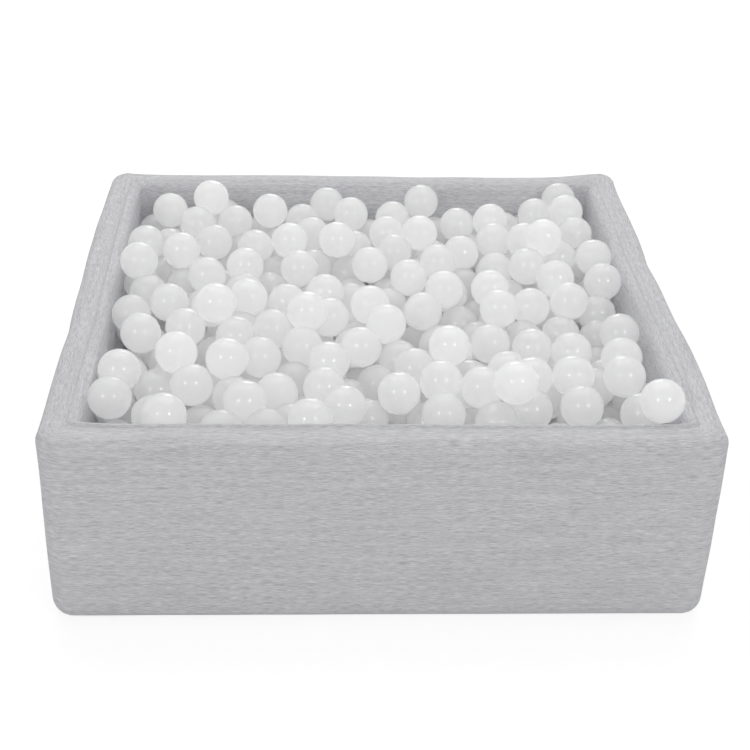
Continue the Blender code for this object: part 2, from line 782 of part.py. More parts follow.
def part_off(work, axis, side, share):
    """Cuts away what lies beyond one upright plane."""
    place = Vector((0.0, 0.0, 0.0))
    facing = Vector((0.0, 0.0, 0.0))
    place[axis] = share * INNER_HALF - side * CLEARANCE / 2
    facing[axis] = side
    bmesh.ops.bisect_plane(work, geom=[*work.verts, *work.edges, *work.faces], dist=CLEARANCE / 2,
                           plane_co=place, plane_no=facing, use_snap_center=True, clear_outer=True)
    fill_open_side(work)


def ball_bed(singles, rest, material):
    """The joined balls, parted by upright planes: the blocks under the pockets are no wider than those."""
    whole = joined_balls(singles, rest)
    for number, (left, right, front, back) in enumerate(BED_BLOCK_SHARES, 1):
        work = whole.copy()
        for axis, side, share in ((0, -1, left), (0, 1, right), (1, -1, front), (1, 1, back)):
            if abs(share) < 1:
                part_off(work, axis, side, share)
        low = [edge for edge in work.edges if min(v.co.z for v in edge.verts) < LOWEST_BALL - BALL_RADIUS]
        feet = [vert for vert in work.verts if vert.co.z < LOWEST_BALL - BALL_RADIUS]
        bmesh.ops.dissolve_limit(work, angle_limit=FLAT_ANGLE, verts=feet, edges=low)
        bmesh.ops.recalc_face_normals(work, faces=work.faces)
        name = f"ball_bed_{number:02d}"
        mesh = bpy.data.meshes.new(name)
        work.to_mesh(mesh)
        work.free()
        mesh.shade_smooth()
        add_object(name, mesh, material)
    whole.free()


def single_balls(singles, rest, material):
    """Each ball that is its own piece stands with a pole on one of the balls it rests on."""
    mesh = bpy.data.meshes.new("ball")
    work = bmesh.new()
    bmesh.ops.create_uvsphere(work, u_segments=BALL_SEGMENTS, v_segments=BALL_RINGS, radius=BALL_RADIUS)
    work.to_mesh(mesh)
    work.free()
    mesh.shade_smooth()
    mesh.materials.append(material)
    for number, place in enumerate(singles, 1):
        support = supports(place, rest)[0]
        name = f"ball_{number:02d}"
        ball = bpy.data.objects.new(name, mesh)
        bpy.context.collection.objects.link(ball)
        ball.location = place
        ball.rotation_euler = Vector(support - place).to_track_quat("-Z", "Y").to_euler()


def build():
    clear_scene()
    cloth = jersey()
    block = foam()
    tape = zip_tape()
    metal = zip_metal()
    plastic = ball_plastic()
    cover_sleeve(cloth)
    cover_floor(cloth)
    cover_underside(lining())
    for side, name in enumerate(("foam_wall_front", "foam_wall_right", "foam_wall_back", "foam_wall_left")):
        foam_wall(name, side, block)
    foam_base(block)
    zip_tape_strip("zip_tape_lower", -1, tape)
    zip_tape_strip("zip_tape_upper", 1, tape)
    zip_chain(zip_coil())
    zip_stop("zip_stop_shut", -1, metal)
    zip_stop("zip_stop_open", 1, metal)
    zip_slider(metal)
    zip_pull_tab(metal)
    singles, rest = split_balls()
    ball_bed(singles, rest, plastic)
    single_balls(singles, rest, plastic)


build()
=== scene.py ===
"""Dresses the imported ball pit: jersey cover on foam blocks, zip at the back, a heap of white plastic balls.

Metres, +Z up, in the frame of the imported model.
"""

import math

import bmesh
import bpy
import numpy as np
from mathutils import Matrix, Vector, noise


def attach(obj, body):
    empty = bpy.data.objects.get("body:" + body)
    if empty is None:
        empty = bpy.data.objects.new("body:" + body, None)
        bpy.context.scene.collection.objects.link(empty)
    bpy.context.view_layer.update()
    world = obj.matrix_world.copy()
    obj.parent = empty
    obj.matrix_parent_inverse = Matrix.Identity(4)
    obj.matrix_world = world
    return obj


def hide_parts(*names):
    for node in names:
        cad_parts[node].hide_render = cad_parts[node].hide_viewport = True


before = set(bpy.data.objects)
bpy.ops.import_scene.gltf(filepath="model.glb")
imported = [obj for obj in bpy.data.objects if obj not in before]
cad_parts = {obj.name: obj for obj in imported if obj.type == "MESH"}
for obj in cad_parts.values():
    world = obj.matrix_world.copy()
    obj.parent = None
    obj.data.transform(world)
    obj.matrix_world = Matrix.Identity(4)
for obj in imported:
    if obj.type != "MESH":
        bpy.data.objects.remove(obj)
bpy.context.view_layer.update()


# The camera
# The photograph was taken from a little left of the middle, looking down at about 30 degrees,
# with a longish lens and a slight roll.

LENS = 68.6
SENSOR = 36.0
EYE = (-0.1015, -1.9756, 1.2897)
LOOK_DOWN = math.radians(30.30)
LOOK_ASIDE = math.radians(-3.12)
ROLL = math.radians(1.80)


def new_object(name, data):
    """An object with this data, in the scene."""
    made = bpy.data.objects.new(name, data)
    bpy.context.collection.objects.link(made)
    return made


camera_data = bpy.data.cameras.new("photo_view")
camera_data.lens = LENS
camera_data.sensor_width = SENSOR
camera = new_object("photo_view", camera_data)
turn = Matrix.Rotation(LOOK_ASIDE, 4, "Z") @ Matrix.Rotation(math.pi / 2 - LOOK_DOWN, 4, "X")
camera.matrix_world = Matrix.Translation(EYE) @ turn @ Matrix.Rotation(ROLL, 4, "Z")
bpy.context.scene.camera = camera


# The foam
# Four wall blocks and a base are cut from soft polyurethane slab with a saw, mitred at the corners,
# and stand loose against each other inside the cover. The cut face is dull and full of fine cells.

PIT_WIDTH = 0.900
PIT_HEIGHT = 0.300
WALL_THICKNESS = 0.050
BASE_THICKNESS = 0.050
CORNER_RADIUS = 0.030
INNER_CORNER_RADIUS = 0.008
BOTTOM_RADIUS = 0.030
RIM_OUTER_RADIUS = 0.018
RIM_INNER_RADIUS = 0.012
CORNER_PEAK = 0.005
PEAK_REACH = 0.060
FABRIC = 0.0012
CLEARANCE = 0.0003
HALF = PIT_WIDTH / 2
INNER_HALF = HALF - WALL_THICKNESS
RIM_LEVEL = PIT_HEIGHT - CORNER_PEAK
FOAM_EASE = FABRIC + 2 * CLEARANCE


def from_hex(code):
    """A written sRGB colour as linear light."""
    channels = [int(code[k:k + 2], 16) / 255 for k in (1, 3, 5)]
    return tuple(c / 12.92 if c <= 0.04045 else ((c + 0.055) / 1.055) ** 2.4 for c in channels)


def add_node(tree, kind, links=None, values=None, **settings):
    """Adds one node with its settings, its sockets' values and the links into it.

    A link comes from a socket, or from a node's first output.
    """
    node = tree.nodes.new(kind)
    for name, value in settings.items():
        setattr(node, name, value)
    for socket, value in (values or {}).items():
        node.inputs[socket].default_value = value
    for socket, source in (links or {}).items():
        tree.links.new(getattr(source, "outputs", [source])[0], node.inputs[socket])
    return node


def new_material(name, viewport_colour):
    """An empty material with its tree and its shader."""
    material = bpy.data.materials.new(name)
    material.use_nodes = True
    material.diffuse_color = (*from_hex(viewport_colour), 1)
    return material, material.node_tree, material.node_tree.nodes["Principled BSDF"]


def set_ramp(ramp, stops):
    """Gives a colour ramp its stops: place and written colour."""
    elements = ramp.color_ramp.elements
    while len(elements) < len(stops):
        elements.new(0.5)
    for element, (place, colour) in zip(elements, stops):
        element.position = place
        element.color = (*from_hex(colour), 1)


def dress(tree, shader, tone, relief, numbers):
    """Gives a shader its colour, its relief and the numbers that are the same all over."""
    tree.links.new(tone.outputs["Color"], shader.inputs["Base Color"])
    tree.links.new(relief.outputs["Normal"], shader.inputs["Normal"])
    for socket, number in numbers.items():
        shader.inputs[socket].default_value = number


def add_piece(name, mesh, material, body, slot, *nodes):
    """A finished piece at the origin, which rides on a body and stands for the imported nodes."""
    piece = new_object(name, mesh)
    mesh.materials.clear()
    mesh.materials.append(material)
    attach(piece, body)
    if nodes:
        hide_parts(*nodes)
    return piece


def clean_mesh(name, points, faces):
    """A mesh with its faces pointing out."""
    mesh = bpy.data.meshes.new(name)
    mesh.from_pydata([tuple(p) for p in points], [], faces)
    work = bmesh.new()
    work.from_mesh(mesh)
    bmesh.ops.recalc_face_normals(work, faces=work.faces)
    work.to_mesh(mesh)
    work.free()
    return mesh


# Soft polyurethane foam, saw cut: a dull cream face with cells of about 1 mm that catch small shadows,
# and a tone that drifts over some 7 cm
FOAM_CELL = 0.0011
FOAM_DRIFT = 1 / 14
foam_material, tree, shader = new_material("polyurethane_foam_saw_cut", "#e6e0cd")
place = add_node(tree, "ShaderNodeTexCoord").outputs["Object"]
cell_numbers = {"Scale": 1 / FOAM_CELL, "Randomness": 0.9}
cells = add_node(tree, "ShaderNodeTexVoronoi", {"Vector": place}, cell_numbers)
clouds = add_node(tree, "ShaderNodeTexNoise", {"Vector": place}, {"Scale": 1 / FOAM_DRIFT, "Detail": 3.0})
tone = add_node(tree, "ShaderNodeValToRGB", {"Fac": clouds})
set_ramp(tone, ((0.3, "#ddd5bf"), (0.7, "#ebe6d6")))
relief = add_node(tree, "ShaderNodeBump", {"Height": cells}, {"Strength": 0.5, "Distance": FOAM_CELL})
dress(tree, shader, tone, relief, {"Roughness": 1.0})


def turned(point, side):
    """A point of the front side, turned to one of the four sides."""
    for _ in range(side):
        point = (-point[1], point[0])
    return point


ARC_STEPS = 7
MITRE_STEPS = 5
BOARD_STEPS = 24
quarter = math.pi / 2


def arc(centre, radius, start, turn, steps=ARC_STEPS):
    """Points of an arc in the wall's cross-section."""
    angles = [start + turn * k / steps for k in range(steps + 1)]
    return [(centre[0] + radius * math.cos(a), centre[1] + radius * math.sin(a)) for a in angles]


def corner_at(depth):
    """Half the straight stretch and the radius of the rounded corner, at a depth in the wall."""
    radius = max(CORNER_RADIUS - depth, INNER_CORNER_RADIUS)
    return HALF - depth - radius, radius


# How far the photographed walls stand out at five places from front to back: the boards are a little bent
LEFT_WALL_STANDS = (0.0, 0.002, -0.004, -0.008, -0.004)
RIGHT_WALL_STANDS = (0.0, 0.007, 0.004, -0.006, -0.003)
# The right rear corner is pulled up more than the others, and the left rear one less: height, then reach
REAR_PEAKS = (-0.003, 0.006)
REAR_REACH = 0.120


def between(values, share):
    """A value on the smooth line through evenly spaced ones."""
    place = min(max(share, 0.0), 1.0) * (len(values) - 1)
    k = min(int(place), len(values) - 2)
    ease = (1 - math.cos(math.pi * (place - k))) / 2
    return values[k] + ease * (values[k + 1] - values[k])


def bent(x, y, z):
    """A place on a wall, moved with the bent boards and the pulled-up corners."""
    stand = between(LEFT_WALL_STANDS if x < 0 else RIGHT_WALL_STANDS, (y + HALF) / PIT_WIDTH)
    upward = min(1.0, z / RIM_LEVEL)
    outward = (abs(x) - INNER_HALF + WALL_THICKNESS) / (2 * WALL_THICKNESS)
    on_wall = min(1.0, max(0.0, outward)) * upward
    off_corner = math.hypot(HALF - abs(x), HALF - y) / REAR_REACH
    lift = REAR_PEAKS[0 if x < 0 else 1] * math.exp(-off_corner ** 2) * upward
    return x + math.copysign(stand * on_wall, x), y, z + lift


def ring_faces(count, rings):
    """The faces between rings of so many points each, and from the last ring back to the first."""
    faces = []
    for first in range(0, rings * count, count):
        after = (first + count) % (rings * count)
        for k in range(count):
            beside = (k + 1) % count
            faces.append((first + k, first + beside, after + beside, after + k))
    return faces


def bar_faces(count, rings):
    """The faces of a solid bar of rings: its sides, then its first and its last end."""
    ends = [tuple(range(first, first + count)) for first in (0, (rings - 1) * count)]
    return ring_faces(count, rings)[:-count] + ends


def foam_board(name, side):
    """One wall board with rounded edges, mitred at both ends."""
    bottom, outer, inner = BOTTOM_RADIUS, RIM_OUTER_RADIUS, RIM_INNER_RADIUS
    line = arc((bottom, bottom + CLEARANCE), bottom - FOAM_EASE, -quarter, -quarter)
    line += arc((outer, RIM_LEVEL - outer), outer - FOAM_EASE, math.pi, -quarter)
    line += arc((WALL_THICKNESS - inner, RIM_LEVEL - inner), inner - FOAM_EASE, quarter, -quarter)
    line.append((WALL_THICKNESS - FOAM_EASE, FOAM_EASE))
    first_mitre = [(-1, quarter / 2 * (1 + step / MITRE_STEPS)) for step in range(MITRE_STEPS)]
    along = [(2 * step / BOARD_STEPS - 1, quarter) for step in range(BOARD_STEPS + 1)]
    last_mitre = [(1, angle) for _, angle in first_mitre[::-1]]
    stations = first_mitre + along + last_mitre
    points = []
    for share, angle in stations:
        for depth, height in line:
            straight, radius = corner_at(depth)
            x = share * (straight + radius * math.cos(angle) - CLEARANCE)
            points.append(bent(*turned((x, -straight - radius * math.sin(angle)), side), height))
    return clean_mesh(name, points, bar_faces(len(line), len(stations)))


foam_nodes = ("foam_wall_front", "foam_wall_right", "foam_wall_back", "foam_wall_left")
for side, node_name in enumerate(foam_nodes):
    block_name = node_name.replace("foam_wall", "foam_board")
    board = foam_board(block_name, side)
    block = add_piece(block_name, board, foam_material, "pit", "foam", node_name)

slab = bmesh.new()
bmesh.ops.create_cube(slab, size=1)
slab_half = INNER_HALF - FOAM_EASE
slab_low, slab_high = FOAM_EASE, BASE_THICKNESS - FOAM_EASE
bmesh.ops.scale(slab, vec=(2 * slab_half, 2 * slab_half, slab_high - slab_low), verts=slab.verts)
bmesh.ops.translate(slab, vec=(0, 0, (slab_low + slab_high) / 2), verts=slab.verts)
upright = [e for e in slab.edges if abs(e.verts[0].co.z - e.verts[1].co.z) > slab_low]
bmesh.ops.bevel(slab, geom=upright, offset=INNER_CORNER_RADIUS, segments=3, affect="EDGES")
slab_mesh = bpy.data.meshes.new("foam_slab")
slab.to_mesh(slab_mesh)
slab.free()
add_piece("foam_slab", slab_mesh, foam_material, "pit", "foam", "foam_base")


# The cover's sleeve
# One tube of cotton jersey in grey melange yarn, sewn up at the back right corner. It goes up the outside,
# over the rim and down the inside, stretched tight, with the knit's courses running round the pit.

OUTER_ROWS = 34
RIM_ROWS = 6
INNER_EDGE_ROWS = 16
INNER_ROWS = 46
# Rows and columns crowd towards the rim and the corners, where the folds are
ROW_CROWDING = 1.5
COLUMN_CROWDING = 0.5
CORNER_COLUMNS = 24
SIDE_COLUMNS = 64
# The foam's unevenness under the cloth, which is less against the balls
SOFT_SWELL = 0.0012
SOFT_LENGTH = 0.085
INNER_SWELL_SHARE = 0.4
# The zip keeps the cloth flat, this far above and under it, and this suddenly
ZIP_HEIGHT = 0.045
ZIP_FLATTENS = 0.025
FLATTENS_POWER = 4
# How much rounder the cloth is than the foam in the inner corners:
# front left, front right, back right, back left
CORNER_BRIDGES = (0.006, 0.008, 0.008, 0.017)


def stretch(start, end, rows, crowd=1.0):
    """Points on a straight line, without its ends, closer together at its start where crowd is over 1."""
    shares = [(k / rows) ** crowd for k in range(1, rows)]
    return [(start[0] + s * (end[0] - start[0]), start[1] + s * (end[1] - start[1])) for s in shares]


section = arc((BOTTOM_RADIUS, BOTTOM_RADIUS + CLEARANCE), BOTTOM_RADIUS, -quarter, -quarter)
outer_arc = arc((RIM_OUTER_RADIUS, RIM_LEVEL - RIM_OUTER_RADIUS), RIM_OUTER_RADIUS, math.pi, -quarter)
inner_middle = (WALL_THICKNESS - RIM_INNER_RADIUS, RIM_LEVEL - RIM_INNER_RADIUS)
inner_arc = arc(inner_middle, RIM_INNER_RADIUS, quarter, -quarter, INNER_EDGE_ROWS)
section += stretch(section[-1], outer_arc[0], OUTER_ROWS)
section += outer_arc
section += stretch(outer_arc[-1], inner_arc[0], RIM_ROWS)
section += inner_arc
foot = (WALL_THICKNESS, BASE_THICKNESS + CLEARANCE)
section += stretch(inner_arc[-1], foot, INNER_ROWS, ROW_CROWDING) + [foot]

side_shares = []
for k in range(1, SIDE_COLUMNS):
    crowded, even = (1 - math.cos(math.pi * k / SIDE_COLUMNS)) / 2, k / SIDE_COLUMNS
    side_shares.append(COLUMN_CROWDING * crowded + (1 - COLUMN_CROWDING) * even)


def bridged_corner(side, depth, height):
    """Like corner_at, for the cloth, which cuts across the inner corners near the rim."""
    inward = min(1.0, max(0.0, 2 * depth / WALL_THICKNESS - 1))
    upward = max(0.0, height - BASE_THICKNESS) / (RIM_LEVEL - BASE_THICKNESS)
    more = CORNER_BRIDGES[side % 4] * inward ** 2 * (3 - 2 * inward) * upward
    straight, radius = corner_at(depth)
    return straight - more, radius + more


def sleeve_point(side, step, depth, height):
    """A point of the taut sleeve. Steps up to CORNER_COLUMNS lie on the corner before the side."""
    straight, radius = bridged_corner(side, depth, height)
    if step <= CORNER_COLUMNS:
        angle = math.pi + quarter * step / CORNER_COLUMNS
        x, y = -straight + radius * math.cos(angle), -straight + radius * math.sin(angle)
    else:
        share = side_shares[step - CORNER_COLUMNS - 1]
        x = share * bridged_corner(side + 1, depth, height)[0] - (1 - share) * straight
        y = -straight - radius
    away = (HALF - abs(x)) / PEAK_REACH
    up = max(0.0, height - RIM_LEVEL / 2) / (RIM_LEVEL / 2)
    return (*turned((x, y), side), height + CORNER_PEAK * up * math.exp(-away * away))


# Small gathers in the inner corners, just under the rim: side, strength
GATHERS = ((1, 1.0), (2, 0.35), (3, 0.5), (0, 0.25))
GATHER_SPACING = 0.0044
GATHER_HEIGHT = 0.0026
GATHER_REACH = 0.018
GATHER_END = 2.5 * GATHER_REACH
GATHER_DROP = 0.003
# The seam that closes the tube is drawn in as deep as this, in the middle of the back right corner
SEAM_SIDE = 2
SEAM_DEPTH = 0.0009
# The rim bulges into the pit, as deep as this, down to this far under it
RIM_BULGE = 0.003
BULGE_DEPTH = 0.035

columns = [(side, step) for side in (2, 3, 0, 1) for step in range(CORNER_COLUMNS + SIDE_COLUMNS)]
skin = np.array([[sleeve_point(*column, *spot) for column in columns] for spot in section])
along = np.roll(skin, -1, axis=1) - np.roll(skin, 1, axis=1)
up = np.gradient(skin, axis=0)
normals = np.cross(along, up)
normals /= np.linalg.norm(normals, axis=2, keepdims=True)

first_inner_row = len(section) - INNER_ROWS
for row in range(len(section)):
    for column in range(len(columns)):
        x, y, z = skin[row, column]
        hold = min(1.0, z / BOTTOM_RADIUS) * (1.0 if row < first_inner_row else INNER_SWELL_SHARE)
        if y > HALF - FABRIC:
            hold *= 1 - math.exp(-((z - ZIP_HEIGHT) / ZIP_FLATTENS) ** FLATTENS_POWER)
        swell = SOFT_SWELL * hold * noise.noise(Vector((x, y, z)) / SOFT_LENGTH)
        for side, strength in GATHERS:
            corner = Vector((*turned((-INNER_HALF, -INNER_HALF), side), RIM_LEVEL - GATHER_DROP))
            away = (Vector((x, y, z)) - corner).length
            if away < GATHER_END:
                fade = math.exp(-(away / GATHER_REACH) ** 2)
                crease = ((1 + math.cos(2 * math.pi * away / GATHER_SPACING)) / 2) ** 2
                swell -= strength * GATHER_HEIGHT * fade * crease
        if columns[column] == (SEAM_SIDE, CORNER_COLUMNS // 2):
            swell -= SEAM_DEPTH
        if row >= first_inner_row - INNER_EDGE_ROWS:
            swell += RIM_BULGE * math.exp(-((RIM_LEVEL - z) / BULGE_DEPTH) ** 2)
        skin[row, column] = bent(*(skin[row, column] + normals[row, column] * swell))

lengths = np.linalg.norm(np.diff(skin, axis=0), axis=2).mean(1)
rise = np.concatenate([[0], np.cumsum(lengths)])
widths = np.linalg.norm(np.roll(skin, -1, axis=1) - skin, axis=2)[OUTER_ROWS]
run = np.concatenate([[0], np.cumsum(widths)])

# The cloth's outside and, back down, its inside are one closed run of rings
rings = np.concatenate([skin, (skin - normals * FABRIC)[::-1]])
levels = np.concatenate([rise, rise[::-1]])
face_uvs = []
for low, high in zip(levels, np.roll(levels, -1)):
    for left, right in zip(run, run[1:]):
        face_uvs += [(left, low), (right, low), (right, high), (left, high)]
sleeve_mesh = bpy.data.meshes.new("jersey_sleeve")
sleeve_mesh.from_pydata(rings.reshape(-1, 3).tolist(), [], ring_faces(len(columns), len(rings)))
cloth_uv = sleeve_mesh.uv_layers.new(name="cloth")
cloth_uv.data.foreach_set("uv", np.array(face_uvs).ravel())
sleeve_mesh.shade_smooth()


def crossed_threads(tree, place, along, across):
    """Threads in both directions, this far apart; the wave texture repeats every pi / 10 of its scale."""
    bands = []
    for period, direction in ((along, "X"), (across, "Y")):
        scale = {"Scale": math.pi / 10 / period}
        wave = add_node(tree, "ShaderNodeTexWave", {"Vector": place}, scale, bands_direction=direction)
        bands.append(wave.outputs["Fac"])
    return add_node(tree, "ShaderNodeMath", dict(enumerate(bands)), operation="MULTIPLY")


def woven(name, viewport_colour, along, across, stops, strength, roughness):
    """Plain woven cloth: a grid of threads in the cloth's own coordinates, between two tones."""
    material, tree, shader = new_material(name, viewport_colour)
    place = add_node(tree, "ShaderNodeUVMap", uv_map="cloth")
    weave = crossed_threads(tree, place, along, across)
    tone = add_node(tree, "ShaderNodeValToRGB", {"Fac": weave})
    set_ramp(tone, stops)
    numbers = {"Strength": strength, "Distance": along / 2}
    relief = add_node(tree, "ShaderNodeBump", {"Height": weave}, numbers)
    dress(tree, shader, tone, relief, {"Roughness": roughness})
    return material


def streaks_of(tree, place, length, height, numbers):
    """Noise that is drawn out along the cloth: streaks of this length and height."""
    space = add_node(tree, "ShaderNodeMapping", {"Vector": place}, {"Scale": (1 / length, 1 / height, 1)})
    return add_node(tree, "ShaderNodeTexNoise", {"Vector": space}, {"Scale": 1.0, **numbers})


# Cotton jersey from melange yarn: pale and dark fibres lie in short streaks along the knit's courses, which
# drift a little, with fainter bands. The stitches are 0.9 mm apart, and the courses 0.7 mm
STREAK_LENGTH = 0.015
STREAK_HEIGHT = 0.0008
DRIFT_LENGTH = 0.090
DRIFT_HEIGHT = 0.012
BAND_LENGTH = 0.120
BAND_HEIGHT = 0.0060
BAND_SHARE = 0.15
STITCH = 0.0009
COURSE = 0.0007
jersey, tree, shader = new_material("cotton_jersey_grey_melange", "#dfdfe2")
place = add_node(tree, "ShaderNodeUVMap", uv_map="cloth")
slow = {"Scale": 1 / DRIFT_LENGTH, "Detail": 1.0}
drift = add_node(tree, "ShaderNodeTexNoise", {"Vector": place}, slow)
sway = add_node(tree, "ShaderNodeMath", {0: drift}, {1: DRIFT_HEIGHT}, operation="MULTIPLY")
shift = add_node(tree, "ShaderNodeCombineXYZ", {"Y": sway})
swayed = add_node(tree, "ShaderNodeVectorMath", {0: place, 1: shift}, operation="ADD")
fine = {"Detail": 4.0, "Roughness": 0.7, "Distortion": 0.4}
streaks = streaks_of(tree, swayed, STREAK_LENGTH, STREAK_HEIGHT, fine)
bands = streaks_of(tree, place, BAND_LENGTH, BAND_HEIGHT, {"Detail": 2.0, "Roughness": 0.5})
both = add_node(tree, "ShaderNodeMix", {"A": streaks, "B": bands}, {"Factor": BAND_SHARE})
tone = add_node(tree, "ShaderNodeValToRGB", {"Fac": both})
set_ramp(tone, ((0.37, "#bababe"), (0.50, "#dfdfe2"), (0.63, "#fafafd")))
stitches = crossed_threads(tree, place, STITCH, COURSE)
fibres = add_node(tree, "ShaderNodeMath", {0: stitches, 1: streaks}, operation="ADD")
relief = add_node(tree, "ShaderNodeBump", {"Height": fibres}, {"Strength": 0.5, "Distance": STITCH / 3})
numbers = {"Roughness": 0.95, "Specular IOR Level": 0.2, "Sheen Weight": 0.15, "Sheen Roughness": 0.5}
dress(tree, shader, tone, relief, numbers)
sleeve = add_piece("jersey_sleeve", sleeve_mesh, jersey, "pit", "jersey", "cover_sleeve")


# The cover's floor and underside
# A square of the same jersey closes the basin's bottom, sewn to the sleeve's inner edge. The underside
# is a stiffer woven lining, sewn to the sleeve's lower edge, which wears better on the floor.

PANEL_CELLS = 40
PANEL_DIP = 0.0006


def lay_flat(mesh, along, across):
    """Gives cloth its own coordinates in metres, read along two axes."""
    uv = mesh.uv_layers.new(name="cloth")
    for loop in mesh.loops:
        point = mesh.vertices[loop.vertex_index].co
        uv.data[loop.index].uv = (point[along], point[across])


# How sharply the panel's outline rounds at its corners, and its waves die out at its edges
CORNER_POWER = 12
EDGE_POWER = 8


def cloth_panel(name, half, corner, low, lift):
    """A square of cloth with rounded corners and faint tension waves, as a closed sheet."""
    shares = [2 * k / PANEL_CELLS - 1 for k in range(PANEL_CELLS + 1)]
    points = []
    for v in shares:
        tops, lows = [], []
        for u in shares:
            reach = half - corner * (1 - math.sqrt(0.5)) * abs(u * v) ** CORNER_POWER
            x, y = u * reach, v * reach
            fade = 1 - max(abs(u), abs(v)) ** EDGE_POWER
            wave = lift * fade * (1 + noise.noise(Vector((x, y, half)) / SOFT_LENGTH)) / 2
            tops.append((x, y, low + FABRIC + wave))
            lows.append((x, y, low + wave))
        points += tops + lows[::-1]
    count = 2 * len(shares)
    faces = ring_faces(count, len(shares))[:-count]
    for first in (0, count * PANEL_CELLS):
        for k in range(PANEL_CELLS):
            faces.append((first + k, first + k + 1, first + count - 2 - k, first + count - 1 - k))
    mesh = clean_mesh(name, points, faces)
    lay_flat(mesh, 0, 1)
    mesh.shade_smooth()
    return mesh


floor_half = INNER_HALF - CLEARANCE
floor_low = BASE_THICKNESS - FABRIC
floor_mesh = cloth_panel("jersey_floor", floor_half, INNER_CORNER_RADIUS, floor_low, -PANEL_DIP)
jersey_floor = add_piece("jersey_floor", floor_mesh, jersey, "pit", "jersey", "cover_floor")

# Woven polyester lining, plain weave: threads 0.4 mm apart, dull with a faint grid
LINING_THREAD = 0.0004
lining = woven("polyester_lining_plain_weave", "#a5a5aa", LINING_THREAD, LINING_THREAD,
               ((0.0, "#96969c"), (1.0, "#b0b0b5")), strength=0.3, roughness=0.9)
under_half = HALF - BOTTOM_RADIUS - CLEARANCE
under_mesh = cloth_panel("lining_underside", under_half, INNER_CORNER_RADIUS, 0.0, 0.0)
underside = add_piece("lining_underside", under_mesh, lining, "pit", "lining", "cover_underside")


# The zip
# A nylon coil zip runs low along the back. Its polyester tapes are sewn to the jersey with a row of
# stitches each; a die-cast slider with a pull tab runs on the coil between two crimped stops.

ZIP_LENGTH = 0.780
TAPE_WIDTH = 0.012
TAPE_THICKNESS = 0.0008
CHAIN_WIDTH = 0.005
CHAIN_THICKNESS = 0.0022
STOP_LENGTH = 0.004
STOP_RISE = 0.0010
SLIDER_LENGTH = 0.014
SLIDER_WIDTH = 0.010
SLIDER_TAIL = 0.0072
SLIDER_THICKNESS = 0.0024
BRIDGE_WIDTH = 0.003
BRIDGE_THICKNESS = 0.0010
BRIDGE_LENGTH = 0.0085
TAB_LENGTH = 0.030
TAB_WIDTH = 0.008
TAB_THICKNESS = 0.0012
TAB_BAR = 0.0016
TAB_RIM = 0.0014
TAB_WINDOW = 0.0050
TAB_SIDE_STEPS = 24
TAB_END_STEPS = 10
TAB_BAR_STEPS = 8
TAB_RIBS = 6
RIB_PITCH = 0.0018
EDGE_SOFTENING = 0.00025
TEETH_PITCH = 0.0016
TEETH_OVERLAP = 0.0008
STITCH_PITCH = 0.0034
STITCH_LENGTH = 0.0026
THREAD = 0.0004
ZIP_FRONT = HALF + CLEARANCE

# Woven polyester tape: ribs along it 0.6 mm apart, crossed by threads 0.3 mm apart
TAPE_RIB = 0.0006
TAPE_THREAD = 0.0003
tape_cloth = woven("polyester_tape_ribbed", "#c2c2c6", TAPE_THREAD, TAPE_RIB,
                   ((0.0, "#b2b2b7"), (1.0, "#d2d2d6")), strength=0.4, roughness=0.85)


def speckled(name, dark, light, grain, roughness, coat=0.0):
    """A smooth material whose tone and gloss drift a little, with relief as fine as the grain."""
    material, tree, shader = new_material(name, light)
    place = add_node(tree, "ShaderNodeTexCoord").outputs["Object"]
    drift = add_node(tree, "ShaderNodeTexNoise", {"Vector": place}, {"Scale": 1 / grain, "Detail": 4.0})
    tone = add_node(tree, "ShaderNodeValToRGB", {"Fac": drift})
    set_ramp(tone, ((0.35, dark), (0.65, light)))
    ends = {"To Min": roughness[0], "To Max": roughness[1]}
    gloss = add_node(tree, "ShaderNodeMapRange", {"Value": drift}, ends)
    relief = add_node(tree, "ShaderNodeBump", {"Height": drift}, {"Strength": 0.15, "Distance": grain / 10})
    tree.links.new(gloss.outputs[0], shader.inputs["Roughness"])
    dress(tree, shader, tone, relief, {"Coat Weight": coat})
    return material


# Drawn nylon wire of the coil: even grey, a waxy gloss. Spun sewing thread: duller, with its twist
WIRE_DRIFT = 0.004
nylon = speckled("nylon_wire_grey", "#a4a4a9", "#b2b2b6", WIRE_DRIFT, (0.32, 0.45))
thread = speckled("polyester_sewing_thread", "#a8a8ad", "#c6c6ca", THREAD, (0.75, 0.9))
# Painted zinc of the slider, tab and stops: grey enamel, slightly uneven from the spray
SPRAY_GRAIN = 0.0012
enamel = speckled("painted_zinc_grey", "#9c9ca1", "#a6a6ab", SPRAY_GRAIN, (0.28, 0.42), coat=0.4)


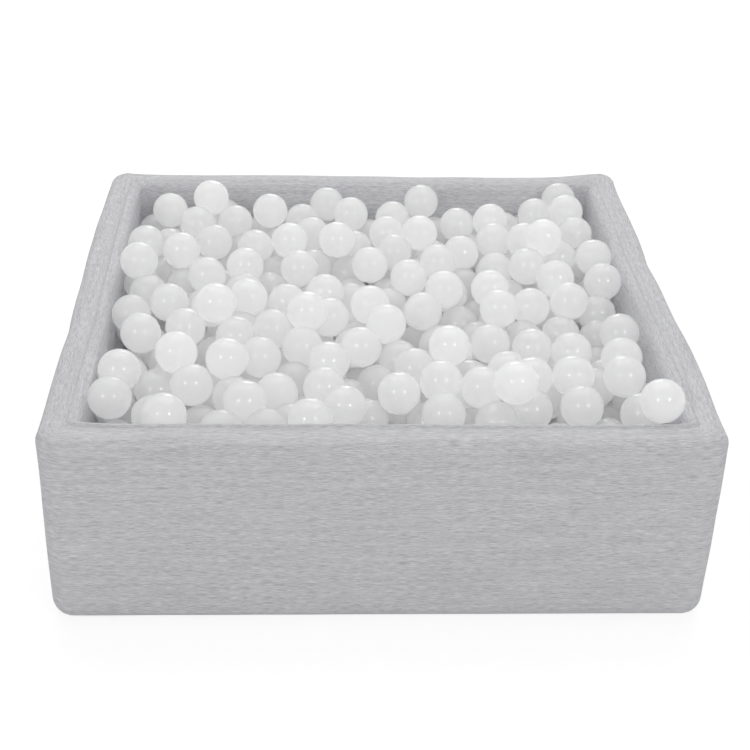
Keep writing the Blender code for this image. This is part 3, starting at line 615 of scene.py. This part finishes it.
def bead_tree():
    """Geometry nodes: a rounded bead or a ball on each point, turned at random as far as its spin allows.

    Each one keeps its own directions in "own_way" and a number of its own in "own_tone".
    """
    tree = bpy.data.node_groups.new("beads_on_points", "GeometryNodeTree")
    sockets = {}
    for name, kind in (("Points", "Geometry"), ("Size", "Vector"), ("Segments", "Int"), ("Rings", "Int"),
                       ("Spin", "Vector"), ("Seed", "Int"), ("Skin", "Material")):
        made = tree.interface.new_socket(name, in_out="INPUT", socket_type=f"NodeSocket{kind}")
        sockets[name] = made.identifier
    tree.interface.new_socket("Beads", in_out="OUTPUT", socket_type="NodeSocketGeometry")
    given = add_node(tree, "NodeGroupInput").outputs
    fineness = {"Segments": given["Segments"], "Rings": given["Rings"]}
    ball = add_node(tree, "GeometryNodeMeshUVSphere", fineness, {"Radius": 0.5})
    smooth = add_node(tree, "GeometryNodeSetShadeSmooth", {"Geometry": ball})
    place = add_node(tree, "GeometryNodeInputPosition")
    way = add_node(tree, "ShaderNodeVectorMath", {0: place}, operation="NORMALIZE")
    marked = add_node(tree, "GeometryNodeStoreNamedAttribute", {"Geometry": smooth, "Value": way},
                      {"Name": "own_way"}, data_type="FLOAT_VECTOR", domain="POINT")
    bead = add_node(tree, "GeometryNodeTransform", {"Geometry": marked, "Scale": given["Size"]})
    spin = add_node(tree, "FunctionNodeRandomValue", {1: given["Spin"], "Seed": given["Seed"]},
                    {0: (0.0, 0.0, 0.0)}, data_type="FLOAT_VECTOR")
    copies = add_node(tree, "GeometryNodeInstanceOnPoints",
                      {"Points": given["Points"], "Instance": bead, "Rotation": spin})
    shade = add_node(tree, "FunctionNodeRandomValue", {"Seed": given["Seed"]}, data_type="FLOAT")
    toned = add_node(tree, "GeometryNodeStoreNamedAttribute", {"Geometry": copies, "Value": shade.outputs[1]},
                     {"Name": "own_tone"}, data_type="FLOAT", domain="INSTANCE")
    real = add_node(tree, "GeometryNodeRealizeInstances", {"Geometry": toned})
    skinned = add_node(tree, "GeometryNodeSetMaterial", {"Geometry": real, "Material": given["Skin"]})
    add_node(tree, "NodeGroupOutput", {"Beads": skinned})
    return tree, sockets


bead_nodes, bead_sockets = bead_tree()


def bead_mesh(name, places, size, segments, rings, skin, spin=(0.0, 0.0, 0.0), seed=0):
    """The finished mesh of beads or balls at these places."""
    points = bpy.data.meshes.new(name)
    points.from_pydata([tuple(p) for p in places], [], [])
    holder = new_object(name, points)
    modifier = holder.modifiers.new("copies", "NODES")
    modifier.node_group = bead_nodes
    settings = {"Size": size, "Segments": segments, "Rings": rings, "Spin": spin, "Seed": seed, "Skin": skin}
    for socket, value in settings.items():
        modifier[bead_sockets[socket]] = value
    grown = holder.evaluated_get(bpy.context.evaluated_depsgraph_get())
    mesh = bpy.data.meshes.new_from_object(grown)
    bpy.data.objects.remove(holder)
    return mesh


def spaced(length, pitch):
    """Evenly spaced places along the zip, centred on it."""
    count = int(length / pitch)
    return [(k - (count - 1) / 2) * pitch for k in range(count)]


# Across the tape, in shares of its width and thickness: a corded edge beside the coil, then flat
TAPE_LINE_SHARES = ((0, 0), (1, 0), (1, 0.6), (0.20, 0.75), (0.14, 1), (0.04, 1), (0, 0.6))
STITCH_LINE_SHARE = 0.6
STITCH_SINKS_SHARE = 0.7

for name, side in (("lower", -1), ("upper", 1)):
    near = CHAIN_WIDTH / 2 + CLEARANCE
    points = []
    for x in (-ZIP_LENGTH / 2, ZIP_LENGTH / 2):
        for across, out in TAPE_LINE_SHARES:
            height = ZIP_HEIGHT + side * (near + across * TAPE_WIDTH)
            points.append((x, ZIP_FRONT + out * TAPE_THICKNESS, height))
    tape_mesh = clean_mesh(f"tape_{name}", points, bar_faces(len(TAPE_LINE_SHARES), 2))
    lay_flat(tape_mesh, 0, 2)
    tape = add_piece(f"tape_{name}", tape_mesh, tape_cloth, "pit", "zip_tape", f"zip_tape_{name}")
    seam_out = ZIP_FRONT + STITCH_SINKS_SHARE * TAPE_THICKNESS
    seam_height = ZIP_HEIGHT + side * (near + STITCH_LINE_SHARE * TAPE_WIDTH)
    row = [(x, seam_out, seam_height) for x in spaced(ZIP_LENGTH, STITCH_PITCH)]
    stitch_size = (STITCH_LENGTH, THREAD, THREAD)
    stitch_mesh = bead_mesh(f"stitches_{name}", row, stitch_size, segments=6, rings=4, skin=thread)
    stitches = add_piece(f"stitches_{name}", stitch_mesh, thread, "pit", "zip_tape")

# The coil's turns: those of the two halves reach past the middle between each other
TURN_SHARE = 0.45
half_run = ZIP_LENGTH / 2 - STOP_LENGTH - CLEARANCE
tooth_reach = CHAIN_WIDTH / 2 + TEETH_OVERLAP
turns_places = []
for x in spaced(2 * half_run, TEETH_PITCH):
    for side in (-1, 1):
        turns_places.append((x + side * TEETH_PITCH / 4, ZIP_FRONT + CHAIN_THICKNESS / 2,
                             ZIP_HEIGHT + side * (CHAIN_WIDTH - tooth_reach) / 2))
turn_size = (TURN_SHARE * TEETH_PITCH, CHAIN_THICKNESS, tooth_reach)
coil_mesh = bead_mesh("nylon_coil", turns_places, turn_size, segments=8, rings=6, skin=nylon)
add_piece("nylon_coil", coil_mesh, nylon, "pit", "zip_coil", "zip_chain")


SHARP_EDGE = math.radians(50)


def soft_solid(name, points, faces, softening, dent=0.0):
    """A solid with its sharp edges softened. A dent sinks the middle of its last face."""
    mesh = clean_mesh(name, points, faces)
    work = bmesh.new()
    work.from_mesh(mesh)
    work.faces.ensure_lookup_table()
    if dent:
        bmesh.ops.inset_region(work, faces=[work.faces[-1]], thickness=2 * softening, depth=-dent)
    sharp = [e for e in work.edges if e.calc_face_angle(0) > SHARP_EDGE]
    bmesh.ops.bevel(work, geom=sharp, offset=softening, segments=2, affect="EDGES", clamp_overlap=True)
    work.to_mesh(mesh)
    work.free()
    return mesh


def soft_plate(name, outline, low, high, dent=0.0):
    """A plate in the zip's plane: an outline in x and z, raised from low to high in y."""
    points = [(x, y, z) for y in (low, high) for x, z in outline]
    return soft_solid(name, points, bar_faces(len(outline), 2), EDGE_SOFTENING, dent)


BEND_STEPS = 4


def round_outline(corners, radius):
    """An outline with each corner rounded."""
    line = []
    for k, corner in enumerate(corners):
        corner = Vector(corner)
        before = (Vector(corners[k - 1]) - corner).normalized() * radius
        after = (Vector(corners[(k + 1) % len(corners)]) - corner).normalized() * radius
        for step in range(BEND_STEPS + 1):
            share = step / BEND_STEPS
            line.append(tuple(corner + before * (1 - share) ** 2 + after * share ** 2))
    return line


STOP_ROUNDING = 0.15 * CHAIN_WIDTH
STOP_DENT = 0.3 * STOP_RISE

for name, side in (("zip_stop_shut", -1), ("zip_stop_open", 1)):
    near, far = side * ZIP_LENGTH / 2, side * (ZIP_LENGTH / 2 - STOP_LENGTH)
    low, high = ZIP_HEIGHT - CHAIN_WIDTH / 2, ZIP_HEIGHT + CHAIN_WIDTH / 2
    outline = round_outline(((near, low), (far, low), (far, high), (near, high)), STOP_ROUNDING)
    piece_name = name.replace("zip_stop", "crimped_stop")
    stop_top = ZIP_FRONT + CHAIN_THICKNESS + STOP_RISE
    stop_mesh = soft_plate(piece_name, outline, ZIP_FRONT, stop_top, STOP_DENT)
    add_piece(piece_name, stop_mesh, enamel, "pit", "zip_metal", name)

# The slider is widest where the open coil halves enter it, and its bridge is cast on.
# Its half outline in shares of its half length and half width, from the nose to the tail
SLIDER_SHARES = ((-1, 0.7), (-0.4, 1.0), (1, SLIDER_TAIL / SLIDER_WIDTH))
SLIDER_ROUNDING = 0.2 * SLIDER_TAIL
slider_x = -ZIP_LENGTH / 2 + STOP_LENGTH + CLEARANCE + SLIDER_LENGTH / 2
slider_y = ZIP_FRONT + CHAIN_THICKNESS + CLEARANCE
half_size = (SLIDER_LENGTH / 2, SLIDER_WIDTH / 2)
corners = [(slider_x + x * half_size[0], ZIP_HEIGHT - z * half_size[1]) for x, z in SLIDER_SHARES]
corners += [(x, 2 * ZIP_HEIGHT - z) for x, z in corners[::-1]]
outline = round_outline(corners, SLIDER_ROUNDING)
plate = soft_plate("cast_slider", outline, slider_y, slider_y + SLIDER_THICKNESS)
turning_room = math.hypot(TAB_THICKNESS, TAB_BAR) / 2 + CLEARANCE
bridge_half = BRIDGE_LENGTH / 2
bridge_low = slider_y + SLIDER_THICKNESS - BRIDGE_THICKNESS
bridge_high = slider_y + SLIDER_THICKNESS + 2 * turning_room + BRIDGE_THICKNESS
# The bridge's arch from the side, as x and y: the outer line with two rounded shoulders, then the inner line
feet = [(-bridge_half, bridge_low), (bridge_half, bridge_low)]
shoulders = [(-bridge_half, bridge_high), (bridge_half, bridge_high)]
bend_points = BEND_STEPS + 1
rounded = round_outline([feet[0], *shoulders, feet[1]], BRIDGE_THICKNESS)
arch_outer = [feet[0], *rounded[bend_points:3 * bend_points], feet[1]]
narrowing = 1 - BRIDGE_THICKNESS / bridge_half
arch_inner = [(x * narrowing, y if y == bridge_low else y - BRIDGE_THICKNESS) for x, y in arch_outer]
points = []
for z in (ZIP_HEIGHT - BRIDGE_WIDTH / 2, ZIP_HEIGHT + BRIDGE_WIDTH / 2):
    points += [(slider_x + x, y, z) for x, y in arch_outer + arch_inner[::-1]]
bridge = soft_solid("slider_bridge", points, bar_faces(2 * len(arch_outer), 2), EDGE_SOFTENING / 2)
work = bmesh.new()
work.from_mesh(plate)
work.from_mesh(bridge)
work.to_mesh(plate)
work.free()
bpy.data.meshes.remove(bridge)
add_piece("cast_slider", plate, enamel, "zip_slider", "zip_metal", "zip_slider")

# The tab: its end bar turns under the bridge, and a window lies behind the bar
tab_y = slider_y + SLIDER_THICKNESS + turning_room
window_half = Vector((TAB_WINDOW / 2, TAB_WIDTH / 2 - TAB_RIM))
WINDOW_POWER = 6
window_x = TAB_BAR / 2 + TAB_WINDOW / 2
tab_half = TAB_WIDTH / 2
side_step = (TAB_LENGTH - tab_half + TAB_BAR / 2) / TAB_SIDE_STEPS
side_line = [-TAB_BAR / 2 + k * side_step for k in range(TAB_SIDE_STEPS + 1)]
end_turns = [math.pi * k / TAB_END_STEPS for k in range(1, TAB_END_STEPS)]
tab_outer = [(x, -tab_half) for x in side_line]
tab_outer += [(TAB_LENGTH - tab_half * (1 - math.sin(a)), -tab_half * math.cos(a)) for a in end_turns]
tab_outer += [(x, tab_half) for x in side_line[::-1]]
tab_outer += [(-TAB_BAR / 2, tab_half * (1 - 2 * k / TAB_BAR_STEPS)) for k in range(1, TAB_BAR_STEPS)]
tab_inner = []
for x, z in tab_outer:
    ray = Vector((x - window_x, z))
    size = sum(abs(part) ** WINDOW_POWER for part in (ray.x / window_half.x, ray.y / window_half.y))
    size **= 1 / WINDOW_POWER
    tab_inner.append((window_x + ray.x / size, ray.y / size))
points = []
for line, face in ((tab_outer, -1), (tab_inner, -1), (tab_inner, 1), (tab_outer, 1)):
    y = tab_y + face * TAB_THICKNESS / 2
    points += [(slider_x + x, y, ZIP_HEIGHT + z) for x, z in line]
tab_mesh = soft_solid("pull_tab", points, ring_faces(len(tab_outer), 4), EDGE_SOFTENING / 2)
add_piece("pull_tab", tab_mesh, enamel, "zip_pull_tab", "zip_metal", "zip_pull_tab")
# Ribs across the tab's outer half, for the fingers
RIB_SHARE = 0.6
first_rib, rib_y = slider_x + TAB_LENGTH / 2, tab_y + TAB_THICKNESS / 2 - EDGE_SOFTENING
ribs = [(first_rib + k * RIB_PITCH, rib_y, ZIP_HEIGHT) for k in range(TAB_RIBS)]
rib_size = (RIB_SHARE * RIB_PITCH, 4 * EDGE_SOFTENING, RIB_SHARE * TAB_WIDTH)
rib_mesh = bead_mesh("pull_tab_ribs", ribs, rib_size, segments=8, rings=8, skin=enamel)
add_piece("pull_tab_ribs", rib_mesh, enamel, "zip_pull_tab", "zip_metal")


# The balls
# Blown from low-density polyethylene, 6 cm across, hollow and a little see-through, with a fine line
# where the two halves of the mould met. They lie loose; each rests in a hollow between others.

BALL_DIAMETER = 0.060
BED_LEVEL = 0.250
TOP_LEVEL = 0.320
SINGLE_BALLS = 26
BED_BLOCKS = 17
PLACE_SEED = 1
ORDER_SLIP_SHARE = 0.8
FIND_SHARE = 0.7
PHOTO_RIM_CORNERS = ((82, 418), (684, 419), (583, 190), (139, 180))
EYE_SIDE = -0.083
EYE_BACK = 1.654
EYE_RISE = 1.040
PHOTO_BALLS_UNDER = (
    (193, 224), (188, 248), (172, 264), (194, 269), (211, 269), (139, 299), (229, 288), (232, 221),
    (297, 221), (344, 245), (377, 264), (400, 256), (431, 257), (314, 296), (486, 243), (512, 249),
    (461, 257), (575, 242), (555, 261), (490, 267), (534, 268), (566, 282), (580, 286), (496, 296),
    (462, 285), (227, 311), (192, 324), (214, 328), (154, 328), (267, 329), (243, 336), (261, 364),
    (141, 366), (230, 380), (207, 390), (222, 419), (160, 419), (267, 417), (344, 309), (301, 337),
    (387, 333), (342, 337), (306, 415), (344, 415), (440, 410), (488, 368), (594, 373), (533, 373),
    (478, 415), (516, 416), (600, 351), (435, 313),
)
PHOTO_BALLS_OVER = (
    (172, 213), (213, 201), (266, 213), (330, 203), (358, 213), (397, 213), (425, 201), (457, 220),
    (497, 220), (530, 212), (562, 202), (571, 222), (159, 240), (138, 269), (211, 242), (249, 242),
    (285, 248), (318, 233), (381, 239), (417, 232), (539, 241), (586, 260), (241, 264), (271, 268),
    (313, 268), (341, 282), (404, 278), (444, 288), (172, 290), (204, 297), (254, 298), (289, 303),
    (317, 303), (373, 303), (403, 306), (489, 307), (532, 314), (562, 307), (612, 288), (603, 317),
    (132, 317), (131, 356), (172, 346), (235, 353), (204, 362), (287, 360), (325, 353), (362, 356),
    (401, 362), (443, 346), (486, 338), (522, 353), (564, 348), (632, 336), (626, 369), (177, 382),
    (110, 395), (139, 399), (241, 404), (191, 409), (280, 390), (329, 384), (368, 394), (415, 397),
    (451, 384), (482, 390), (517, 392), (563, 378), (592, 404), (553, 403), (623, 399), (652, 403),
)
SQUARE = ((-1, -1), (1, -1), (1, 1), (-1, 1))
BALL_RADIUS = BALL_DIAMETER / 2
BALL_SPACING = BALL_DIAMETER + CLEARANCE
BALL_REACH = INNER_HALF - BALL_RADIUS - CLEARANCE
LOWEST_BALL = BASE_THICKNESS + BALL_RADIUS + CLEARANCE
SAME_SHARE = 0.00003
SAME = BALL_DIAMETER * SAME_SHARE
PLACE_DECIMALS = 6


def first_layer():
    """The balls on the floor, in staggered rows from wall to wall."""
    across = int(2 * BALL_REACH / BALL_SPACING)
    pitch = 2 * BALL_REACH / across
    rows = int(2 * BALL_REACH / (pitch * math.sqrt(3) / 2))
    places = []
    for row in range(rows + 1):
        stagger = row % 2
        for k in range(across + 1 - stagger):
            x = -BALL_REACH + (k + stagger / 2) * pitch
            places.append((x, -BALL_REACH + row * 2 * BALL_REACH / rows, LOWEST_BALL))
    return np.array(places).round(PLACE_DECIMALS)


def flat_turn(a, b):
    """Twice the area of the triangles that pairs of arrows span, seen from above."""
    return a[:, 0] * b[:, 1] - a[:, 1] * b[:, 0]


def hollows_on_three(ball, near):
    """Places where one more ball would rest on this ball and two near it."""
    i, j = np.triu_indices(len(near), 1)
    a, b = near[i] - ball, near[j] - ball
    aa, bb, ab = (a * a).sum(1), (b * b).sum(1), (a * b).sum(1)
    square = aa * bb - ab * ab
    apart = square > aa * bb * SAME_SHARE
    a, b, aa, bb, ab, square = (part[apart] for part in (a, b, aa, bb, ab, square))
    share_a = bb * (aa - ab) / (2 * square)
    share_b = aa * (bb - ab) / (2 * square)
    middle = share_a[:, None] * a + share_b[:, None] * b
    normal = np.cross(a, b)
    normal *= np.sign(normal[:, 2:3])
    rise = BALL_SPACING ** 2 - (middle * middle).sum(1)
    usable = (rise > 0) & (normal[:, 2] > 0)
    a, b, middle, normal, rise = (part[usable] for part in (a, b, middle, normal, rise))
    normal /= np.linalg.norm(normal, axis=1, keepdims=True)
    top = middle + normal * np.sqrt(rise)[:, None]
    # It stays there only if it is over the triangle of the three
    s, t = flat_turn(top, b) / flat_turn(a, b), flat_turn(a, top) / flat_turn(a, b)
    stable = (s > 0) & (t > 0) & (s + t < 1)
    return top[stable] + ball


def hollows_at_wall(ball, near):
    """Places where one more ball would rest on this ball and one near it, against a wall."""
    found = []
    for axis in (0, 1):
        along = 1 - axis
        for wall in (-BALL_REACH, BALL_REACH):
            ball_reach = BALL_SPACING ** 2 - (wall - ball[axis]) ** 2
            if ball_reach <= 0:
                continue
            for other in near:
                other_reach = BALL_SPACING ** 2 - (wall - other[axis]) ** 2
                across, up = other[along] - ball[along], other[2] - ball[2]
                apart = math.hypot(across, up)
                if other_reach <= 0 or abs(across) < SAME:
                    continue
                foot = (ball_reach - other_reach + apart ** 2) / (2 * apart)
                rise = ball_reach - foot ** 2
                if rise < 0:
                    continue
                lean = math.copysign(math.sqrt(rise), across)
                place = np.zeros(3)
                place[axis] = wall
                place[along] = ball[along] + (foot * across - lean * up) / apart
                place[2] = ball[2] + (foot * up + lean * across) / apart
                if min(ball[along], other[along]) < place[along] < max(ball[along], other[along]):
                    found.append(place)
    return np.array(found).reshape(-1, 3)


def hollows_in_corner(ball):
    """Places where one more ball would rest on this ball, in a corner of the pit."""
    found = []
    for x in (-BALL_REACH, BALL_REACH):
        for y in (-BALL_REACH, BALL_REACH):
            rise = BALL_SPACING ** 2 - (x - ball[0]) ** 2 - (y - ball[1]) ** 2
            if rise > 0:
                found.append((x, y, ball[2] + math.sqrt(rise)))
    return np.array(found).reshape(-1, 3)


def distances(places, point):
    return np.linalg.norm(places - point, axis=1)


def new_hollows(balls, ball):
    """The free hollows that a ball makes with those around it."""
    away = distances(balls, ball)
    near = balls[(away > SAME) & (away < 2 * BALL_SPACING)]
    found = [hollows_on_three(ball, near), hollows_at_wall(ball, near), hollows_in_corner(ball)]
    found = np.concatenate(found)
    found = found[(np.abs(found[:, :2]) <= BALL_REACH + SAME).all(1)]
    if len(found) == 0:
        return found
    around = balls[away < 3 * BALL_SPACING]
    nearest = np.linalg.norm(found[:, None] - around[None], axis=2).min(1)
    return np.unique(found[nearest >= BALL_SPACING - SAME].round(PLACE_DECIMALS), axis=0)


def photo_to_rim():
    """The perspective map from the photograph to the plane of the rim."""
    goal = [(x * INNER_HALF, y * INNER_HALF) for x, y in SQUARE]
    rows, right = [], []
    for (u, v), (x, y) in zip(PHOTO_RIM_CORNERS, goal):
        rows.append([u, v, 1, 0, 0, 0, -u * x, -v * x])
        rows.append([0, 0, 0, u, v, 1, -u * y, -v * y])
        right += [x, y]
    solved = np.linalg.solve(np.array(rows, float), np.array(right, float))
    return np.append(solved, 1).reshape(3, 3)


def seen_on_rim(places):
    """Where places in the pit are seen on the plane of the rim."""
    eye = np.array((EYE_SIDE, -HALF - EYE_BACK, RIM_LEVEL + EYE_RISE))
    shares = (eye[2] - RIM_LEVEL) / (eye[2] - places[:, 2])
    return eye[:2] + (places[:, :2] - eye[:2]) * shares[:, None]


def ball_places():
    """The middles of all the balls: the floor's rows, the bed over them, and the heap as photographed."""
    draw = np.random.default_rng(PLACE_SEED)
    balls = first_layer()
    hollows, turns = np.empty((0, 3)), np.empty(0)

    def with_ball(balls, hollows, turns, place):
        free = distances(hollows, place) >= BALL_SPACING - SAME
        balls = np.vstack([balls, place])
        found = new_hollows(balls, place)
        slip = draw.random(len(found)) * ORDER_SLIP_SHARE * BALL_SPACING
        return balls, np.vstack([hollows[free], found]), np.append(turns[free], found[:, 2] + slip)

    for place in balls:
        found = new_hollows(balls, place)
        hollows = np.vstack([hollows, found])
        turns = np.append(turns, found[:, 2])
    while True:
        open_turns = np.where(hollows[:, 2] <= BED_LEVEL, turns, np.inf)
        k = int(np.argmin(open_turns))
        if open_turns[k] == np.inf:
            break
        balls, hollows, turns = with_ball(balls, hollows, turns, hollows[k])
    to_rim = photo_to_rim()
    for u, v in PHOTO_BALLS_UNDER + PHOTO_BALLS_OVER:
        want = to_rim @ (u, v, 1)
        away = distances(seen_on_rim(hollows), want[:2] / want[2])
        away = np.where(hollows[:, 2] <= TOP_LEVEL, away, np.inf)
        k = int(np.argmin(away))
        if away[k] < FIND_SHARE * BALL_SPACING:
            balls, hollows, turns = with_ball(balls, hollows, turns, hollows[k])
    return balls


def free_to_lift(balls):
    """Which balls have none above them, the highest first."""
    order = np.argsort(-balls[:, 2], kind="stable")
    free = []
    for k in order:
        aside = distances(balls[:, :2], balls[k, :2])
        over = (aside < BALL_SPACING) & (balls[:, 2] > balls[k, 2] + SAME)
        if not over.any():
            free.append(int(k))
    return free


balls = ball_places()
chosen = free_to_lift(balls)[:SINGLE_BALLS]
chosen.sort(key=lambda k: (balls[k, 1], balls[k, 0]))
singles = balls[chosen]
rest = np.delete(balls, chosen, axis=0)

# Blown low-density polyethylene, undyed white: waxy, light passes through its thin wall, and the skin has
# a soft gloss. The mould's parting line is a ridge 0.3 mm high round the ball's middle, its width a share
# of the radius
PARTING_SHARE = 0.02
PARTING_HEIGHT = 0.0003
LIGHT_THROUGH = 0.62
ball_skin, tree, shader = new_material("polyethylene_blown_white", "#ebebe9")
way = add_node(tree, "ShaderNodeAttribute", attribute_name="own_way")
tone_seed = add_node(tree, "ShaderNodeAttribute", attribute_name="own_tone")
parts = add_node(tree, "ShaderNodeSeparateXYZ", {"Vector": way.outputs["Vector"]})
off_line = add_node(tree, "ShaderNodeMath", {0: parts.outputs["Z"]}, operation="ABSOLUTE")
ridge = {"From Min": 0.0, "From Max": PARTING_SHARE, "To Min": 1.0, "To Max": 0.0}
line = add_node(tree, "ShaderNodeMapRange", {"Value": off_line}, ridge, interpolation_type="SMOOTHSTEP")
relief = add_node(tree, "ShaderNodeBump", {"Height": line}, {"Strength": 0.25, "Distance": PARTING_HEIGHT})
tone = add_node(tree, "ShaderNodeValToRGB", {"Fac": tone_seed.outputs["Fac"]})
set_ramp(tone, ((0.0, "#fbfbfb"), (1.0, "#fefefe")))
dress(tree, shader, tone, relief, {
    "Roughness": 0.16, "IOR": 1.5, "Specular IOR Level": 1.0, "Coat Weight": 1.0, "Coat Roughness": 0.14,
    "Sheen Weight": 0.8, "Sheen Roughness": 0.25,
})
through = add_node(tree, "ShaderNodeBsdfTranslucent", {"Color": tone, "Normal": relief})
wall = add_node(tree, "ShaderNodeMixShader", {1: shader, 2: through}, {0: LIGHT_THROUGH})
tree.links.new(wall.outputs[0], tree.nodes["Material Output"].inputs["Surface"])


def balls_mesh(name, places, segments, rings, seed):
    """The mesh of balls at these places, each turned its own way."""
    size, spin = (BALL_DIAMETER,) * 3, (2 * math.pi,) * 3
    return bead_mesh(name, places, size, segments, rings, ball_skin, spin, seed)


def in_sight(places, everything):
    """Which balls can be seen from above or from the side, past the others."""
    seen = []
    for place in places:
        over = everything[everything[:, 2] > place[2] + BALL_RADIUS / 2]
        aside = distances(over[:, :2], place[:2])
        seen.append((aside < BALL_RADIUS).sum() == 0 or place[2] > BED_LEVEL - BALL_SPACING)
    return np.array(seen)


# Segments and rings of the balls that lie free, at the heap's top and deep in it, and the seeds that their
# turns and tones are drawn with
LOOSE_FACETS = (24, 14)
TOP_FACETS = (20, 12)
DEEP_FACETS = (10, 6)
TOP_SEED = 3
DEEP_SEED = 5
FIRST_LOOSE_SEED = 10
seen = in_sight(rest, balls)
near_mesh = balls_mesh("balls_heap_top", rest[seen], *TOP_FACETS, TOP_SEED)
far_mesh = balls_mesh("balls_heap_deep", rest[~seen], *DEEP_FACETS, DEEP_SEED)
bed_nodes = [f"ball_bed_{number:02d}" for number in range(1, BED_BLOCKS + 1)]
add_piece("balls_heap_top", near_mesh, ball_skin, "ball_bed", "ball_plastic", *bed_nodes)
add_piece("balls_heap_deep", far_mesh, ball_skin, "ball_bed", "ball_plastic", *bed_nodes)
for number, place in enumerate(singles, 1):
    body = f"ball_{number:02d}"
    mesh = balls_mesh(f"loose_{body}", [place], *LOOSE_FACETS, FIRST_LOOSE_SEED + number)
    add_piece(f"loose_{body}", mesh, ball_skin, body, "ball_plastic", body)


# The floor and the light
# A plain white sweep in a studio: an even surround, a large soft box overhead, one behind, and two small
# ones beside the camera, which give the balls their twin lights.

SURROUND = 0.39
LIGHT_BOUNCES = 32
# The floor as it is seen: its own glow near the pit, and where it has gone all white
FLOOR_GLOW = 0.77
FLOOR_SHADE = 0.38
GLOW_STARTS = 1.5
GLOW_FULL = 4.0
FLOOR_HALF = 12.0


def rays_that_show(tree):
    """1 on the rays that show the backdrop: the camera's, mirrored ones and those through glass."""
    ray = add_node(tree, "ShaderNodeLightPath").outputs
    straight = {0: ray["Is Camera Ray"], 1: ray["Is Glossy Ray"]}
    either = add_node(tree, "ShaderNodeMath", straight, operation="MAXIMUM")
    through = {0: either, 1: ray["Is Transmission Ray"]}
    return add_node(tree, "ShaderNodeMath", through, operation="MAXIMUM")


floor_data = bpy.data.meshes.new("studio_floor")
floor_corners = [(x * FLOOR_HALF, y * FLOOR_HALF, 0) for x, y in SQUARE]
floor_data.from_pydata(floor_corners, [], [(0, 1, 2, 3)])
floor = new_object("studio_floor", floor_data)
floor_paint, tree, shader = new_material("matt_paint_white", "#ffffff")
shader.inputs["Base Color"].default_value = (*from_hex("#f4f4f4"), 1)
shader.inputs["Roughness"].default_value = 1.0
spot = add_node(tree, "ShaderNodeTexCoord").outputs["Object"]
away = add_node(tree, "ShaderNodeVectorMath", {0: spot}, operation="LENGTH")
strength = add_node(tree, "ShaderNodeMapRange", {"Value": away.outputs["Value"]},
                    {"From Min": GLOW_STARTS, "From Max": GLOW_FULL, "To Min": FLOOR_GLOW, "To Max": 1.0})
glow = add_node(tree, "ShaderNodeEmission", {"Strength": strength}, {"Color": (1, 1, 1, 1)})
grey = add_node(tree, "ShaderNodeBsdfDiffuse", values={"Color": (FLOOR_SHADE, FLOOR_SHADE, FLOOR_SHADE, 1)})
shown = add_node(tree, "ShaderNodeAddShader", {0: glow, 1: grey})
mixed = add_node(tree, "ShaderNodeMixShader", {0: rays_that_show(tree), 1: shader, 2: shown})
tree.links.new(mixed.outputs[0], tree.nodes["Material Output"].inputs["Surface"])
floor_data.materials.append(floor_paint)

world = bpy.data.worlds.new("studio")
world.use_nodes = True
bpy.context.scene.world = world
tree = world.node_tree
background = tree.nodes["Background"]
background.inputs["Color"].default_value = (1, 1, 1, 1)
background.inputs["Strength"].default_value = SURROUND
white = add_node(tree, "ShaderNodeBackground", values={"Color": (1, 1, 1, 1), "Strength": 1.0})
mixed = add_node(tree, "ShaderNodeMixShader", {0: rays_that_show(tree), 1: background, 2: white})
tree.links.new(mixed.outputs[0], tree.nodes["World Output"].inputs["Surface"])

# The soft boxes, which all face the heap: name, place, width and depth, power
SOFT_BOXES = (
    ("top_box", (0.10, 1.80, 4.10), (4.8, 3.2), 66.0),
    ("back_box", (0.40, 5.20, 2.30), (2.0, 1.6), 34.0),
    ("left_box", (-2.50, -3.50, 2.90), (0.75, 0.75), 24.0),
    ("right_box", (2.10, -3.50, 2.90), (0.75, 0.75), 24.0),
)
for name, place, size, power in SOFT_BOXES:
    lamp = bpy.data.lights.new(name, "AREA")
    lamp.shape = "RECTANGLE"
    lamp.size, lamp.size_y = size
    lamp.energy = power
    box = new_object(name, lamp)
    box.location = place
    aim = Vector((0, 0, RIM_LEVEL)) - Vector(place)
    box.rotation_euler = aim.to_track_quat("-Z", "Y").to_euler()
bpy.context.scene.view_settings.view_transform = "Standard"
# The light passes many times through and between the balls
cycles = bpy.context.scene.cycles
cycles.max_bounces = cycles.diffuse_bounces = cycles.transmission_bounces = LIGHT_BOUNCES
